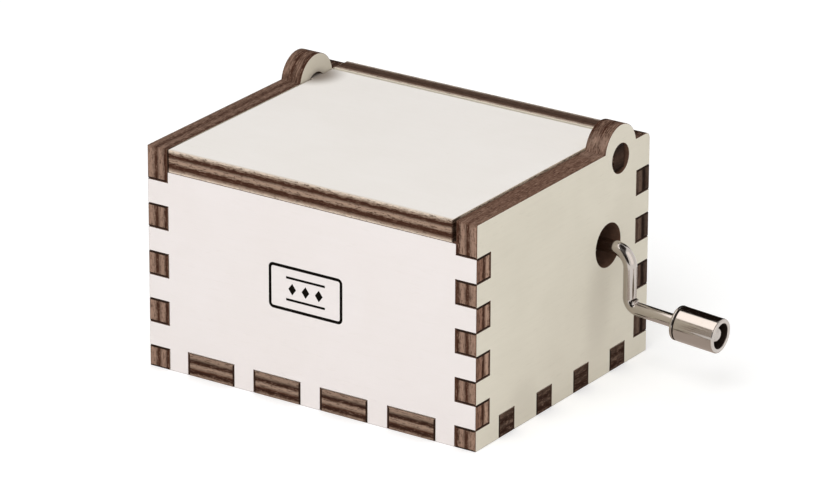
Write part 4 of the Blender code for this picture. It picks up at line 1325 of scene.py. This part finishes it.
@dataclass
class MovementPiece:
    """One piece of the movement, which stands for the CAD node of its name."""

    node: str
    finish: Union[Metal, CastMetal, Nylon]
    slot: Slot
    body: str = "case"
    corner: float = 0.00005
    second_finish: Optional[Metal] = None
    second_faces: Optional[FaceRule] = None

    def build(self, materials: dict[str, Material]) -> None:
        """Rounds the piece's corners and gives it its finish.

        Args:
            materials: Finished materials by name, to which new ones are added.
        """
        bm = cad_shape(self.node)
        if self.corner:
            soften(bm, sharp_edges(bm), self.corner)
        used = [self.finish]
        if self.second_finish is not None:
            used.append(self.second_finish)
            for face in bm.faces:
                face.material_index = 1 if self.second_faces(face) else 0
        for finish in used:
            if finish.name not in materials:
                materials[finish.name] = finish.material()
        piece = new_piece(f"{self.node}_dressed", bm, [materials[finish.name] for finish in used])
        settle(piece, self.body, self.node)


@dataclass
class Movement:
    """The eighteen-note movement."""

    cylinder_radius: float = 0.0063
    pin_skin: float = 0.00003
    tooth_blade: float = 0.0006
    blade_slack: float = 1.05
    weight_reach: float = 0.0045

    def is_pin(self, face: Face) -> bool:
        """Whether a face of the cylinder belongs to a pin.

        Args:
            face: The face.

        Returns:
            Whether it lies outside the tube.
        """
        low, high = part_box("pinned_cylinder")
        middle = (low + high) / 2
        place = face.calc_center_median() - middle
        return math.hypot(place.x, place.z) > self.cylinder_radius + self.pin_skin

    def is_weight(self, face: Face) -> bool:
        """Whether a face of the comb belongs to the weights under its bass teeth.

        Args:
            face: The face.

        Returns:
            Whether it lies under the blades, at their tips.
        """
        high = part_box("comb")[1]
        place = face.calc_center_median()
        return place.z < high.z - self.tooth_blade * self.blade_slack and place.x > high.x - self.weight_reach

    def pieces(self) -> list[MovementPiece]:
        """Every piece, from the bedplate up.

        Returns:
            The pieces, the screws last.
        """
        screws = {
            "comb_screw": ("front", "rear"),
            "bearing_bracket_screw": ("left", "right"),
            "worm_bracket_screw": ("left", "right"),
            "mounting_screw": ("left", "front", "rear"),
        }
        steel, brass, nylon = Slot.STEEL, Slot.BRASS, Slot.NYLON
        made = [
            MovementPiece("bedplate", CastMetal(), Slot.ZINC, corner=0.00012),
            MovementPiece("comb", GROUND_STEEL, steel, "case", 0.0, LEAD, self.is_weight),
            MovementPiece("bearing_bracket", SHEET_STEEL, steel),
            MovementPiece("worm_bracket", SHEET_STEEL, steel),
            MovementPiece("pinned_cylinder", BRASS, brass, "cylinder", 0.0, PIN_STEEL, self.is_pin),
            MovementPiece("cylinder_cap", Nylon(), nylon, "cylinder"),
            MovementPiece("cylinder_arbor", SCREW_STEEL, steel, "cylinder"),
            MovementPiece("worm_wheel", Nylon(), nylon, "cylinder", 0.00003),
            MovementPiece("worm", WORM_BRASS, brass, "crank", 0.00003),
        ]
        for kind, places in screws.items():
            made += [MovementPiece(f"{kind}_{end}", SCREW_STEEL, steel, corner=0.00004) for end in places]
        return made

    def build(self) -> None:
        """Builds every piece."""
        materials: dict[str, Material] = {}
        for piece in self.pieces():
            piece.build(materials)


# The studio


@dataclass(frozen=True)
class SoftLight:
    """A square area light that looks at the box."""

    name: str
    place: Point
    size: float
    power: float
    colour: Colour = (1.0, 1.0, 1.0)

    def build(self) -> None:
        """Hangs the light."""
        lamp = bpy.data.lights.new(self.name, "AREA")
        lamp.shape = "SQUARE"
        lamp.size = self.size
        lamp.energy = self.power
        lamp.color = self.colour
        aim(new_object(self.name, lamp), Vector(self.place), -Vector(self.place))


@dataclass(frozen=True)
class Card:
    """A card that glows only for glossy rays: a painted reflection, light or dark, that polished metal sees.
    """

    name: str
    place: Point
    width: float
    height: float
    tone: Colour
    facing: Point = (0.0, 0.0, 1.0)

    def build(self) -> None:
        """Stands the card up."""
        sheet = new_sheet(f"{self.name}_tone")
        glow = sheet.add("ShaderNodeEmission", values={"Color": self.tone, "Strength": 1.0})
        sheet.add("ShaderNodeOutputMaterial", values={"Surface": glow})
        bm = bmesh.new()
        bmesh.ops.create_grid(bm, x_segments=2, y_segments=2, size=0.5)
        bmesh.ops.scale(bm, vec=(self.width, self.height, 1.0), verts=bm.verts)
        obj = new_piece(self.name, bm, (sheet.owner,))
        aim(obj, Vector(self.place), Vector(self.facing), "Z")
        obj.visible_camera = obj.visible_diffuse = obj.visible_shadow = obj.visible_transmission = False


@dataclass
class Studio:
    """The floor, the lights and the camera."""

    target: Point = (-0.000303, 0.003453, 0.017774)
    distance: float = 0.955
    azimuth: float = math.radians(33.859)
    elevation: float = math.radians(21.603)
    roll: float = math.radians(0.179)
    lens: float = 255.07
    sensor: float = 36.0
    floor_reach: float = 3.0
    floor_tint: Colour = (0.86, 0.86, 0.86)
    floor_lift: float = 0.29
    floor_dust: float = 0.995
    sky: float = 0.70
    nearest: float = 0.1
    farthest: float = 20.0
    mat_lift: float = 0.0001

    def camera(self) -> None:
        """Sets the camera at the photograph's angle."""
        level = math.cos(self.elevation)
        north, east = math.cos(self.azimuth) * level, math.sin(self.azimuth) * level
        back = Vector((east, -north, math.sin(self.elevation)))
        data = bpy.data.cameras.new("camera")
        data.sensor_fit = "HORIZONTAL"
        data.sensor_width = self.sensor
        data.lens = self.lens
        data.clip_start = self.distance * self.nearest
        data.clip_end = self.distance * self.farthest
        obj = new_object("camera", data)
        aim(obj, Vector(self.target) + back * self.distance, -back)
        obj.rotation_quaternion = obj.rotation_quaternion @ Quaternion((0.0, 0.0, 1.0), self.roll)
        bpy.context.scene.camera = obj

    def seen_directly(self, sheet: NodeSheet) -> Value:
        """Whether a ray comes from the camera, from polished metal or through a clear piece.

        Args:
            sheet: The node sheet that gets the nodes.

        Returns:
            One for such rays, and else zero.
        """
        path = sheet.add("ShaderNodeLightPath", output="Is Camera Ray")
        either = path + path.part("Is Glossy Ray") + path.part("Is Transmission Ray")
        return sheet.between(either, 0.0, 1.0)

    def floor(self) -> None:
        """Lays the white floor, which keeps the box's shadow."""
        sheet = new_sheet("white_floor")
        dust = sheet.noise(even(30.0), 2.0, 0.5)
        tint = sheet.mix(dust, scaled(self.floor_tint, self.floor_dust), self.floor_tint)
        matt = sheet.add("ShaderNodeBsdfDiffuse", values={"Color": tint})
        lift = self.seen_directly(sheet) * self.floor_lift
        glow = sheet.add("ShaderNodeEmission", values={"Color": (1.0, 1.0, 1.0), "Strength": lift})
        both = sheet.add("ShaderNodeAddShader", values={0: matt, 1: glow})
        sheet.add("ShaderNodeOutputMaterial", values={"Surface": both})
        bm = bmesh.new()
        bmesh.ops.create_grid(bm, x_segments=8, y_segments=8, size=self.floor_reach)
        new_piece("floor", bm, (sheet.owner,))

    def world(self) -> None:
        """Lights the box evenly from all round."""
        world = bpy.data.worlds.new("soft_room")
        bpy.context.scene.world = world
        sheet = NodeSheet(world)
        strength = self.seen_directly(sheet) * (1.0 - self.sky) + self.sky
        room = sheet.add("ShaderNodeBackground", values={"Color": (1.0, 1.0, 1.0), "Strength": strength})
        sheet.add("ShaderNodeOutputWorld", values={"Surface": room})

    def cards(self) -> list[Card]:
        """The painted reflections that the crank shows: glowing bright cards and dark cards.

        Returns:
            The standing cards, and the mats on the floor, some of which paint the box's shadow into the
            reflections.
        """
        dark, grey = (0.012, 0.007, 0.005), (0.48, 0.43, 0.38)
        white, cream = (1.95, 1.88, 1.83), (1.45, 1.40, 1.36)
        lift = self.mat_lift
        return [
            # Painted shadow in reflection: the floor in the box's shade beside the right panel.
            Card("side_shadow_mat", (0.0440, 0.0150, lift), 0.0260, 0.1000, (0.58, 0.51, 0.46)),
            # Dark cards that paint dark bands into the metal's reflections.
            Card("dark_rear_card", (-0.2205, 0.3405, 0.2665), 0.70, 0.625, dark, (0.524, -0.655, -0.545)),
            Card("dark_front_card", (0.118, -0.418, 0.122), 0.350, 0.345, dark, (-0.170, 0.955, -0.242)),
            Card("dark_top_strip", (0.155, -0.094, 0.483), 0.300, 0.850, dark, (0.0, 0.330, -0.940)),
            # Painted highlights: bright cards that glow stronger than white, seen only in reflections.
            Card("bright_left_card", (-0.198, -0.181, 0.510), 0.66, 0.60, white, (0.440, 0.343, -0.830)),
            Card("bright_right_card", (0.481, -0.065, 0.240), 0.41, 0.50, cream, (-0.877, 0.155, -0.454)),
            # A dark patch on the floor, painted into the reflections only.
            Card("dark_front_mat", (0.0900, -0.2800, lift), 0.2100, 0.3100, (0.03, 0.02, 0.015)),
            Card("foot_shadow", (0.0220, -0.0345, lift), 0.0300, 0.0140, (0.17, 0.15, 0.13)),
            Card("grey_front_card", (-0.070, -0.190, 0.107), 0.10, 0.21, grey, (0.450, 0.811, -0.375)),
        ]

    def build(self) -> None:
        """Builds the studio."""
        self.floor()
        self.world()
        SoftLight("key", (0.12, -0.64, 0.66), 0.60, 3.4).build()
        for card in self.cards():
            card.build()
        self.camera()
        bpy.context.scene.view_settings.view_transform = "Standard"


def main() -> None:
    """Builds the music box and the studio round it."""
    logging.basicConfig(level=logging.INFO, format="%(message)s")
    for assembly in (Case(), Label(), Crank(), Movement(), Studio()):
        LOG.info("building %s", type(assembly).__name__)
        assembly.build()


if __name__ == "__main__":
    main()
